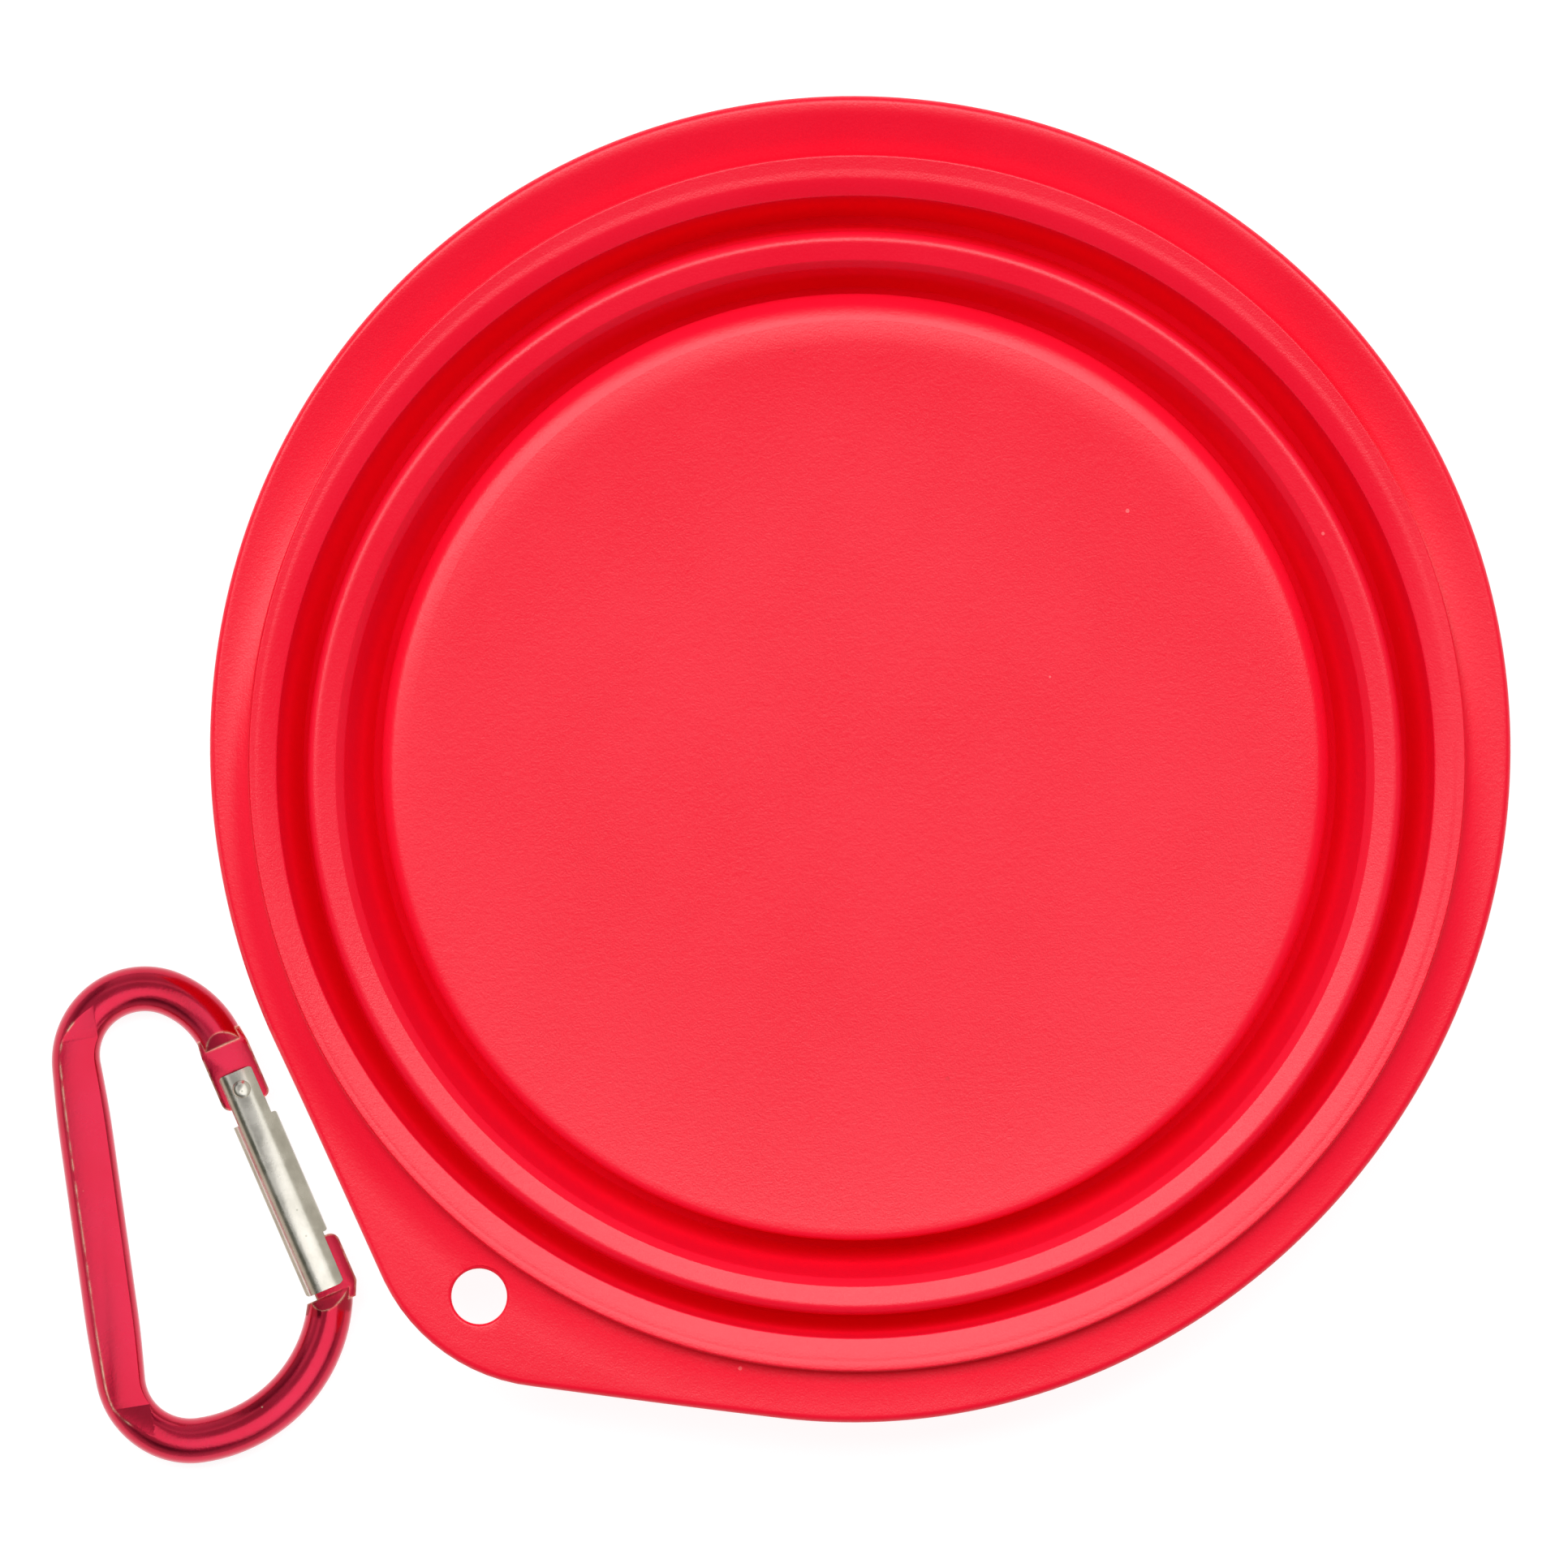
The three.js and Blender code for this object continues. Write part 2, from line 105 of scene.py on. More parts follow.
def spaced(path, longest):
    # Long runs get points between their ends, so that they shade flat and bend evenly
    dense = []
    for here, there in zip(path, path[1:] + path[:1]):
        steps = max(1, math.ceil((there - here).length / longest))
        dense += [here.lerp(there, k / steps) for k in range(steps)]
    return dense


def turned(loop, columns, place=None):
    # A profile (radius, height) turned about the upright axis, and bent by the place function
    build = bmesh.new()
    rings = []
    for radius, height in loop:
        if radius < 1e-6:
            pole = place(radius, height, 0)[1] if place else height
            rings.append([build.verts.new((0, 0, pole))] * columns)
            continue
        ring = []
        for k in range(columns):
            angle = fullTurn * k / columns
            r, z = place(radius, height, angle) if place else (radius, height)
            ring.append(build.verts.new((r * math.cos(angle), r * math.sin(angle), z)))
        rings.append(ring)
    for here, there in zip(rings, rings[1:] + rings[:1]):
        for k in range(columns):
            corners = [here[k], here[k - 1], there[k - 1], there[k]]
            corners = list(dict.fromkeys(corners))
            if len(corners) > 2:
                build.faces.new(corners)
    return build


def prism(outline, low, high):
    # A plate of the outline (x, y), upright between two heights
    build = bmesh.new()
    bottom = [build.verts.new((x, y, low)) for x, y in outline]
    top = [build.verts.new((x, y, high)) for x, y in outline]
    build.faces.new(bottom[::-1])
    build.faces.new(top)
    for k in range(len(outline)):
        build.faces.new((bottom[k - 1], bottom[k], top[k], top[k - 1]))
    return build


def swept(rings):
    # A skin over rings of equal length, closed at both ends
    build = bmesh.new()
    loops = [[build.verts.new(point) for point in ring] for ring in rings]
    for here, there in zip(loops, loops[1:]):
        for k in range(len(here)):
            build.faces.new((here[k - 1], here[k], there[k], there[k - 1]))
    build.faces.new(loops[0][::-1])
    build.faces.new(loops[-1])
    return build


def boxBuild(low, high):
    x0, y0, z0 = low
    x1, y1, z1 = high
    return prism([(x0, y0), (x1, y0), (x1, y1), (x0, y1)], z0, z1)


def combine(piece, build, how, matrix=None):
    # Joins or cuts a piece with a second form, which is used up
    if matrix:
        build.transform(matrix)
    tool = linkPiece("tool", build, piece.data.materials[0])
    change = piece.modifiers.new("change", "BOOLEAN")
    change.object, change.operation, change.solver = tool, how, "EXACT"
    applyModifiers(piece)
    bpy.data.objects.remove(tool)
    return piece


def applyModifiers(piece):
    graph = bpy.context.evaluated_depsgraph_get()
    data = bpy.data.meshes.new_from_object(piece.evaluated_get(graph))
    old = piece.data
    piece.modifiers.clear()
    piece.data = data
    bpy.data.meshes.remove(old)


def softenEdges(piece, width, angle=30):
    bevel = piece.modifiers.new("edges", "BEVEL")
    bevel.width, bevel.segments, bevel.limit_method = width * mm, 2, "ANGLE"
    bevel.angle_limit = math.radians(angle)
    bevel.use_clamp_overlap = True
    applyModifiers(piece)


# Shader groups, each built once and placed with its own values

def newGroup(name, inputs, outputs):
    group = bpy.data.node_groups.new(name, "ShaderNodeTree")
    for socketName, kind, value in inputs:
        socket = group.interface.new_socket(socketName, in_out="INPUT", socket_type=kind)
        socket.default_value = value
    for socketName, kind in outputs:
        group.interface.new_socket(socketName, in_out="OUTPUT", socket_type=kind)
    return group, group.nodes.new("NodeGroupInput"), group.nodes.new("NodeGroupOutput")


def addNode(tree, kind, inputs=None, **settings):
    node = tree.nodes.new(kind)
    for key, value in settings.items():
        setattr(node, key, value)
    for key, value in (inputs or {}).items():
        if isinstance(value, bpy.types.NodeSocket):
            tree.links.new(value, node.inputs[key])
        else:
            node.inputs[key].default_value = value
    return node


def rampNode(tree, source, low, high):
    # Zero below the first value, one above the second
    node = addNode(tree, "ShaderNodeMapRange", {"Value": source, "From Min": low, "From Max": high})
    node.interpolation_type = "SMOOTHSTEP"
    return node.outputs["Result"]


def mathNode(tree, how, first, second):
    return addNode(tree, "ShaderNodeMath", {0: first, 1: second}, operation=how).outputs[0]


grainLook = {"coarseScale": 0.31, "coarseShare": 0.6, "tone": (0.3, 0.7)}
smallestSpeck = 0.4  # of the given size, and the largest is this plus one


def grainGroup():
    # Fine moulded or blasted grain: a height for bumps and a tone for colour
    group, inlet, outlet = newGroup(
        "fineGrain",
        [("Vector", "NodeSocketVector", (0, 0, 0)), ("Scale", "NodeSocketFloat", 5000.0)],
        [("Height", "NodeSocketFloat"), ("Tone", "NodeSocketFloat")],
    )
    where, scale = inlet.outputs["Vector"], inlet.outputs["Scale"]
    fine = addNode(group, "ShaderNodeTexNoise", {
        "Vector": where, "Scale": scale, "Detail": 2.0, "Roughness": 0.6}).outputs["Fac"]
    coarseScale = mathNode(group, "MULTIPLY", scale, grainLook["coarseScale"])
    coarse = addNode(group, "ShaderNodeTexNoise", {
        "Vector": where, "Scale": coarseScale, "Detail": 1.0}).outputs["Fac"]
    coarseHeight = mathNode(group, "MULTIPLY", coarse, grainLook["coarseShare"])
    group.links.new(mathNode(group, "ADD", fine, coarseHeight), outlet.inputs["Height"])
    group.links.new(rampNode(group, fine, *grainLook["tone"]), outlet.inputs["Tone"])
    return group


def specksGroup():
    # Sparse round specks, at random places and of random sizes
    group, inlet, outlet = newGroup(
        "sparseSpecks",
        [("Vector", "NodeSocketVector", (0, 0, 0)), ("Scale", "NodeSocketFloat", 200.0),
         ("Size", "NodeSocketFloat", 0.06), ("Share", "NodeSocketFloat", 0.1)],
        [("Mask", "NodeSocketFloat")],
    )
    cells = addNode(group, "ShaderNodeTexVoronoi", {
        "Vector": inlet.outputs["Vector"], "Scale": inlet.outputs["Scale"], "Randomness": 1.0})
    split = addNode(group, "ShaderNodeSeparateColor", {"Color": cells.outputs["Color"]})
    spread = mathNode(group, "ADD", split.outputs["Green"], smallestSpeck)
    size = mathNode(group, "MULTIPLY", inlet.outputs["Size"], spread)
    dot = mathNode(group, "LESS_THAN", cells.outputs["Distance"], size)
    chosen = mathNode(group, "LESS_THAN", split.outputs["Red"], inlet.outputs["Share"])
    group.links.new(mathNode(group, "MULTIPLY", dot, chosen), outlet.inputs["Mask"])
    return group


def blotchGroup():
    # Broad, soft changes of tone
    group, inlet, outlet = newGroup(
        "softBlotches",
        [("Vector", "NodeSocketVector", (0, 0, 0)), ("Scale", "NodeSocketFloat", 40.0)],
        [("Tone", "NodeSocketFloat")],
    )
    cloud = addNode(group, "ShaderNodeTexNoise", {
        "Vector": inlet.outputs["Vector"], "Scale": inlet.outputs["Scale"],
        "Detail": 4.0, "Roughness": 0.55})
    tone = rampNode(group, cloud.outputs["Fac"], *grainLook["tone"])
    group.links.new(tone, outlet.inputs["Tone"])
    return group


fineGrain, sparseSpecks, softBlotches = grainGroup(), specksGroup(), blotchGroup()


def placeGroup(tree, group, vector, **values):
    return addNode(tree, "ShaderNodeGroup", {"Vector": vector, **values}, node_tree=group).outputs


def newMaterial(name, settings):
    material = bpy.data.materials.new(name)
    material.use_nodes = True
    tree = material.node_tree
    shader = tree.nodes["Principled BSDF"]
    for key, value in settings.items():
        shader.inputs[key].default_value = value
    where = tree.nodes.new("ShaderNodeTexCoord").outputs["Object"]
    return material, tree, shader, where


def mixColour(tree, factor, first, second):
    # A mix node's colour sockets are inputs 6 and 7 and output 2
    sockets = {0: factor, 6: first, 7: second}
    return addNode(tree, "ShaderNodeMix", sockets, data_type="RGBA").outputs[2]


def overlay(tree, colour, mask, strength, second):
    return mixColour(tree, mathNode(tree, "MULTIPLY", mask, strength), colour, second)


def bumpNormal(tree, shader, height, distance):
    bump = addNode(tree, "ShaderNodeBump", {
        "Height": height, "Distance": distance * mm, "Strength": 1.0})
    tree.links.new(bump.outputs["Normal"], shader.inputs["Normal"])


def setRoughness(tree, shader, tone, low, high):
    rough = addNode(tree, "ShaderNodeMapRange", {"Value": tone, "To Min": low, "To Max": high})
    tree.links.new(rough.outputs["Result"], shader.inputs["Roughness"])


siliconeLook = {
    "red": (0.82, 0.004, 0.027, 1),
    "paleRed": (0.85, 0.007, 0.034, 1),
    "speck": (0.95, 0.22, 0.22, 1),
    "pit": (0.55, 0.002, 0.012, 1),
    "paintedGlow": (1.0, 0.0, 0.006, 1),  # painted red glow, standing in for light that comes back out of the thin moulding
    "paintedGlowStrength": 0.11,
    "speckStrength": 0.6,
    "pitStrength": 0.4,
    "roughness": (0.3, 0.38),
    "grainScale": 5200.0,
    "grainHeight": 0.02,
}


def siliconeMaterial():
    look = siliconeLook
    # The emission paints a faint red glow over the whole moulding
    material, tree, shader, where = newMaterial("siliconeRed", {
        "IOR": 1.42, "Emission Color": look["paintedGlow"], "Emission Strength": look["paintedGlowStrength"]})
    grain = placeGroup(tree, fineGrain, where, Scale=look["grainScale"])
    cloud = placeGroup(tree, softBlotches, where, Scale=55.0)
    dust = placeGroup(tree, sparseSpecks, where, Scale=260.0, Size=0.055, Share=0.035)
    pits = placeGroup(tree, sparseSpecks, where, Scale=330.0, Size=0.06, Share=0.02)
    tone = mathNode(tree, "ADD", mathNode(tree, "MULTIPLY", grain["Tone"], 0.5),
                    mathNode(tree, "MULTIPLY", cloud["Tone"], 0.5))
    colour = mixColour(tree, tone, look["red"], look["paleRed"])
    colour = overlay(tree, colour, dust["Mask"], look["speckStrength"], look["speck"])
    colour = overlay(tree, colour, pits["Mask"], look["pitStrength"], look["pit"])
    tree.links.new(colour, shader.inputs["Base Color"])
    setRoughness(tree, shader, tone, *look["roughness"])
    bumpNormal(tree, shader, grain["Height"], look["grainHeight"])
    return material


anodisedLook = {
    "red": (0.55, 0.011, 0.042, 1),
    "paleRed": (0.62, 0.016, 0.057, 1),
    # Golden bare metal of nicks and worn edges; on the edges it also paints their glints
    "bare": (0.95, 0.72, 0.48, 1),
    "nickStrength": 0.5,
    "wornAndGlintMetal": 0.7,    # a worn edge, with its painted glint, is this much less metallic
    "roughness": (0.2, 0.3),
    "grainScale": 3800.0,
    "grainHeight": 0.009,
    "wearAndGlint": 0.34,        # mm from the edges
    "wearAndGlintTurn": (0.994, 0.972),
    "plainSide": (0.0, 0.8, 7, 9),  # mm inwards of the spine's middle, where no wear and no glint is painted
}


def wornAndGlintEdges(tree, where):
    # A mask of worn bare metal and painted golden glint where the surface turns sharply, broken up,
    # and left out along the punch's inner side
    look = anodisedLook

    def vectorMath(how, first, second):
        return addNode(tree, "ShaderNodeVectorMath", {0: first, 1: second}, operation=how).outputs

    rounded = addNode(tree, "ShaderNodeBevel", {"Radius": look["wearAndGlint"] * mm}, samples=6)
    plain = tree.nodes.new("ShaderNodeNewGeometry").outputs["Normal"]
    facing = vectorMath("DOT_PRODUCT", rounded.outputs["Normal"], plain)["Value"]
    edge = rampNode(tree, facing, *look["wearAndGlintTurn"])
    patches = placeGroup(tree, softBlotches, where, Scale=700.0)["Tone"]
    fromSpine = vectorMath("SUBTRACT", where, clipInFrame.translation * mm)[0]
    aside = vectorMath("DOT_PRODUCT", fromSpine, clipInFrame.col[0].to_3d())["Value"]
    start, full, fade, end = [place * mm for place in look["plainSide"]]
    rising, falling = rampNode(tree, aside, start, full), rampNode(tree, aside, end, fade)
    inner = mathNode(tree, "MULTIPLY", rising, falling)
    kept = mathNode(tree, "MULTIPLY", edge, mathNode(tree, "SUBTRACT", 1.0, inner))
    return mathNode(tree, "MULTIPLY", kept, patches)


def anodisedMaterial():
    look = anodisedLook
    material, tree, shader, where = newMaterial("anodisedRed", {
        "Coat Weight": 0.3, "Coat Roughness": 0.1, "Coat IOR": 1.5})
    grain = placeGroup(tree, fineGrain, where, Scale=look["grainScale"])
    cloud = placeGroup(tree, softBlotches, where, Scale=160.0)
    nicks = placeGroup(tree, sparseSpecks, where, Scale=900.0, Size=0.1, Share=0.03)
    colour = mixColour(tree, cloud["Tone"], look["red"], look["paleRed"])
    colour = overlay(tree, colour, nicks["Mask"], look["nickStrength"], look["bare"])
    wornAndGlint = wornAndGlintEdges(tree, where)
    # The edges get the golden colour: partly real wear, partly a painted glint
    colour = mixColour(tree, wornAndGlint, colour, look["bare"])
    tree.links.new(colour, shader.inputs["Base Color"])
    duller = mathNode(tree, "MULTIPLY", wornAndGlint, look["wornAndGlintMetal"])
    tree.links.new(mathNode(tree, "SUBTRACT", 1.0, duller), shader.inputs["Metallic"])
    setRoughness(tree, shader, cloud["Tone"], *look["roughness"])
    bumpNormal(tree, shader, grain["Height"], look["grainHeight"])
    return material


platedLook = {
    "bright": (0.78, 0.745, 0.67, 1),
    "dull": (0.62, 0.59, 0.52, 1),
    "stain": (0.34, 0.34, 0.27, 1),
    "pitStrength": 0.5,
    "roughness": (0.2, 0.3),
    "grainHeight": 0.006,
}


def platedMaterial():
    look = platedLook
    material, tree, shader, where = newMaterial("platedSheet", {"Metallic": 1.0})
    grain = placeGroup(tree, fineGrain, where, Scale=3000.0)
    cloud = placeGroup(tree, softBlotches, where, Scale=420.0)
    pits = placeGroup(tree, sparseSpecks, where, Scale=1100.0, Size=0.12, Share=0.05)
    colour = mixColour(tree, cloud["Tone"], look["dull"], look["bright"])
    colour = overlay(tree, colour, pits["Mask"], look["pitStrength"], look["stain"])
    tree.links.new(colour, shader.inputs["Base Color"])
    setRoughness(tree, shader, cloud["Tone"], *look["roughness"])
    bumpNormal(tree, shader, grain["Height"], look["grainHeight"])
    return material


steelLook = {
    "dull": (0.42, 0.42, 0.41, 1),
    "bright": (0.62, 0.62, 0.6, 1),
    "roughness": (0.28, 0.42),
}


def springMaterial():
    look = steelLook
    material, tree, shader, where = newMaterial("springSteel", {"Metallic": 1.0})
    cloud = placeGroup(tree, softBlotches, where, Scale=1200.0)
    colour = mixColour(tree, cloud["Tone"], look["dull"], look["bright"])
    tree.links.new(colour, shader.inputs["Base Color"])
    setRoughness(tree, shader, cloud["Tone"], *look["roughness"])
    return material


siliconeRed = siliconeMaterial()
platedSheet = platedMaterial()
springSteel = springMaterial()
print("materials ready:", len(bpy.data.materials))


# Bowl: one moulding, made as three stiff rings and two thin webs that turn over between them

bowl = {
    "floorEdge": 46.9,
    "ridgeInner": 51.1,
    "ridgeOuter": 53.9,
    "lipInner": 56.9,
    "lipOuter": 60.15,
    "flangeEdge": 65.0,
    "webThickness": 0.9,
    "webFlare": 0.1,
    "webFootRound": 0.3,
    "webEnd": 0.6,       # how far the webs' feet stand above the table, inside the stiff feet
    "wall": 2.4,
    "valley": 0.8,
    "valleyRise": 1.0,
    "valleyRounds": (0.4, 0.3),
    "footTop": 1.4,      # above the table
    "footInset": 0.3,
    "footStep": 0.2,
    "footRounds": (0.4, 0.9),
    "columns": 288,
    "fineSpacing": 0.35,
    "ringSpacing": 0.7,
    "floorSpacing": 1.2,
    "seamStep": 0.03,    # stiff rings run on this far below the webs' tops
    "ridgeDrop": 0.3,    # the ridge's inner edge below its crest
    "ridgeRun": 1.4,
    "ridgeSeam": 0.8,    # from the ridge's inner edge
    "ridgeRounds": (0.9, 0.7),
    "ridgeThicker": 1.2,
    "floorSeam": 2.6,    # from the floor's edge
    "floorSag": 0.65,
    "shoulder": 1.2,
    "shoulderInner": 1.2,
    "frontTightness": 0.6,
    "frontFrom": 0.3,    # the tight part starts here, as a sine
    "rollFrom": 40.6,    # the back of the floor's edge rolls over from here
    "rollDepth": 0.0012,
}
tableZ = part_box("rim")[0].z / mm
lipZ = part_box("rim")[1].z / mm
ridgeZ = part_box("middle_wall")[1].z / mm
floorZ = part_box("base_floor")[1].z / mm
footZ = tableZ + bowl["footTop"]
webFootZ = tableZ + bowl["webEnd"]
seamAngle = 16           # degrees: the bowl's edges are smooth up to here

flange = {
    "drop": 1.8,         # below the lip's crest
    "thickness": 2.2,
    "dish": 0.6,         # the edge stands this much higher than the root, on average
    "dishLean": (0.0, 0.6),
    "dishOval": 0.1,
    "rootRise": (0.25, 1.05),  # at the front and at the sides
    "rootLean": 0.15,
    "rootReach": 4.4,
    "rootFall": 2.5,
    "rootRound": 0.12,
    "underRound": 1.0,
    "edgeRound": 0.7,
    "stretchFrom": 60.9,
    "shift": (0.3, 1.0),       # the edge is out of round by these
    "stretch": 0.65,
    "lobes": (0.18, 0.25),
    "tabAngle": math.radians(234.6),
    "tabReach": 6.5,
    "tipRadius": 19.0,
    "holeDiameter": 5.5,
    "holeSetback": 7.2,
    "holeRound": 0.35,
    "holeSteps": 6,
    "holeSides": 72,
}
flangeZ = lipZ - flange["drop"]
floorSeam = bowl["floorEdge"] - bowl["floorSeam"]
floorSeamZ = floorZ - 4 * bowl["floorSag"] / floorSeam * (bowl["floorEdge"] - floorSeam)
ridgeLean = bowl["ridgeDrop"] / bowl["ridgeRun"]
ridgeSeam = bowl["ridgeInner"] + bowl["ridgeSeam"]
ridgeSeamZ = ridgeZ - bowl["ridgeDrop"] + bowl["ridgeSeam"] * ridgeLean
ridgeSag = {"back": -0.65, "side": -0.05, "oval": 0.3}  # mm out of round at the crest
lipSag = {
    "crestSetback": 1.45,
    "oval": 0.4,
    "edgeShift": (0.15, 0.4),
    "plateau": (0.09, 0.22),  # outward rise at the back and at the front
    "plateauWidth": 0.9,
    "backRoll": 0.15,
    "depth": 1.2,
}
lipCrest = bowl["lipOuter"] - lipSag["crestSetback"]


def flangeReach(angle):
    # The soft edge is a little out of round, and the tab is drawn to it by two straight sides
    edge, tip = bowl["flangeEdge"], flange["tipRadius"]
    tipCentre = edge + flange["tabReach"] - tip
    spread = math.acos((edge - tip) / tipCentre)
    tipEnd = math.atan2(tip * math.sin(spread), tipCentre + tip * math.cos(spread))
    off = abs((angle - flange["tabAngle"] + math.pi) % fullTurn - math.pi)
    if off > spread:
        reach = edge
    elif off > tipEnd:
        reach = edge / math.cos(spread - off)
    else:
        reach = tipCentre * math.cos(off) + math.sqrt(tip ** 2 - (tipCentre * math.sin(off)) ** 2)
    shiftX, shiftY = flange["shift"]
    lobeCos, lobeSin = flange["lobes"]
    warp = shiftX * math.cos(angle) + shiftY * math.sin(angle)
    warp -= flange["stretch"] * math.cos(2 * angle)
    return reach + warp + lobeCos * math.cos(3 * angle) + lobeSin * math.sin(3 * angle)


def riseShare(height, top):
    return min(1, max(0, (height - footZ) / (top - footZ)))


def ridgePlace(radius, height, angle):
    bend = ridgeSag["back"] * math.sin(angle) + ridgeSag["side"] * math.cos(angle)
    bend += ridgeSag["oval"] * math.cos(2 * angle)
    return radius + bend * riseShare(height, ridgeZ), height


def flangeDish(angle):
    leanX, leanY = flange["dishLean"]
    oval = flange["dishOval"] * math.cos(2 * angle)
    return flange["dish"] + leanX * math.cos(angle) + leanY * math.sin(angle) - oval


def rootRise(radius, height, angle):
    # At the front and the sides the top of the flange sweeps up to the lip
    run = (radius - bowl["lipOuter"]) / flange["rootReach"]
    if not 0 < run < 1 or height < flangeZ - 0.1:
        return 0
    front, side = flange["rootRise"]
    forward = 1 - math.sin(angle)
    aside = math.cos(angle) ** 4 * (1 - flange["rootLean"] * math.cos(angle))
    rise = front * (forward / 2) ** 2 + side * max(0, 1.5 * forward - 0.5) * aside
    share = min(1, (lipZ - height) / (lipZ - flangeZ))
    return rise * share * (1 - run) ** flange["rootFall"]


def lipPlace(radius, height, angle):
    # The lip leans in at the front, and rolls over its inner edge at the back
    outer, start = bowl["lipOuter"], flange["stretchFrom"]
    back, front = (1 + math.sin(angle)) / 2, (1 - math.sin(angle)) / 2
    inside = (outer - radius) / (outer - lipCrest)
    bend = lipSag["oval"] * math.cos(2 * angle) * min(1, max(0, inside))
    if radius < outer:
        nearEdge = (radius - lipCrest) / (outer - lipCrest)
    else:
        nearEdge = (start - radius) / (start - outer)
    shiftX, shiftY = lipSag["edgeShift"]
    bend += (shiftX * math.cos(angle) + shiftY * math.sin(angle)) * max(0, nearEdge)
    run = radius - lipCrest
    if run < 0:
        lift = -lipSag["backRoll"] * back ** 2 * run ** 2
    else:
        backRise, frontRise = lipSag["plateau"]
        lift = backRise * back * run + frontRise * front ** 2 * min(run, lipSag["plateauWidth"])
    top = min(1, max(0, 1 - (lipZ - height) / lipSag["depth"]))
    return radius + bend * riseShare(height, lipZ), height + lift * top


def flangePlace(radius, height, angle):
    # From the round lip, the flange is stretched to its own edge and dished
    start, edge, root = flange["stretchFrom"], bowl["flangeEdge"], bowl["lipOuter"]
    if radius <= start:
        placed, lifted = lipPlace(radius, height, angle)
        lift = flangeDish(angle) * max(0, radius - root) / (edge - root)
        return placed, lifted + lift + rootRise(radius, height, angle)
    reach = flangeReach(angle)
    flatEnd = edge - flange["edgeRound"]
    if radius >= flatEnd:
        placed = reach - (edge - radius)
    else:
        flatReach = reach - flange["edgeRound"]
        placed = start + (radius - start) * (flatReach - start) / (flatEnd - start)
    lift = flangeDish(angle) * min(1, (placed - root) / (edge - root))
    return placed, height + lift + rootRise(placed, height, angle)


def footCorners(web):
    # A ring's stiff foot: the first two and the last two corners of its profile
    b, (heel, toe), (dip, step) = bowl, bowl["footRounds"], bowl["valleyRounds"]
    inner, valley = web - b["webThickness"] - b["footInset"], web + b["valley"]
    first = [(inner, tableZ, heel), (valley + b["wall"], tableZ, toe)]
    last = [(valley, footZ + b["valleyRise"], dip), (inner, footZ - b["footStep"], step)]
    return first, last


def ringPiece(name, corners, spacing, place):
    build = turned(spaced(roundedPath(corners), spacing), bowl["columns"], place)
    return linkPiece(name, build, siliconeRed, seamAngle)


def holeCutter():
    # A round hole with rounded edges, through the tab
    radius, edge = flange["holeDiameter"] / 2, flange["holeRound"]
    topZ = flangeZ + flangeDish(flange["tabAngle"])
    underZ = topZ - flange["thickness"]
    turns = [math.pi / 2 * k / flange["holeSteps"] for k in range(flange["holeSteps"] + 1)]
    quarter = [(radius + edge * (1 - math.sin(t)), edge * (1 - math.cos(t))) for t in turns]
    cutter = [(0, topZ + 1), (radius + edge, topZ + 1)]
    cutter += [(r, topZ - drop) for r, drop in quarter]
    cutter += [(r, underZ + drop) for r, drop in reversed(quarter)]
    cutter += [(radius + edge, underZ - 1), (0, underZ - 1)]
    return turned(cutter, flange["holeSides"])


def rimPiece():
    b = bowl
    web = b["ridgeOuter"] + b["webFlare"]
    valley = web + b["valley"]
    underZ = flangeZ - flange["thickness"]
    share = (underZ - footZ) / (lipZ - footZ)
    wallOuter = valley + (b["lipInner"] - valley) * share + b["wall"]
    first, last = footCorners(web)
    rim = ringPiece("bowlRim", [
        *first,
        (wallOuter, underZ, flange["underRound"]),
        (b["flangeEdge"], underZ, flange["edgeRound"]),
        (b["flangeEdge"], flangeZ, flange["edgeRound"]),
        (b["lipOuter"] + 0.05, flangeZ, flange["rootRound"]),
        (b["lipOuter"], lipZ - 0.02, flange["rootRound"]),
        (b["lipOuter"] - 0.2, lipZ - 0.027, 0),  # keeps the top flat up to its edge
        (lipCrest + 0.55, lipZ - 0.05, 0.8),     # a slight dip beside the crest
        (lipCrest, lipZ, 0.8),
        (b["lipInner"], lipZ - 0.39, 0.2),
        *last,
    ], b["fineSpacing"], flangePlace)
    place = b["flangeEdge"] + flange["tabReach"] - flange["holeSetback"]
    spot = Matrix.Rotation(flange["tabAngle"], 4, "Z") @ Matrix.Translation((place, 0, 0))
    combine(rim, holeCutter(), "DIFFERENCE", spot)
    finishPiece(rim, siliconeRed, seamAngle)
    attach(rim, "rim")
    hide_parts("rim")
    return rim


def upperWebPiece():
    b, t, (outer, inner) = bowl, bowl["webThickness"], bowl["ridgeRounds"]
    cornerZ = ridgeZ - b["ridgeDrop"] + (b["ridgeOuter"] - b["ridgeInner"]) * ridgeLean
    foot = b["ridgeOuter"] + b["webFlare"]
    web = ringPiece("upperFold", [
        (ridgeSeam, ridgeSeamZ, 0),
        (b["ridgeOuter"], cornerZ, outer),
        (foot, webFootZ, b["webFootRound"]),
        (foot - t, webFootZ, b["webFootRound"]),
        (b["ridgeOuter"] - t, cornerZ - t * b["ridgeThicker"], inner),
        (ridgeSeam, ridgeSeamZ - t, 0),
    ], b["fineSpacing"], ridgePlace)
    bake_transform(web)
    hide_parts("upper_fold")
    return web


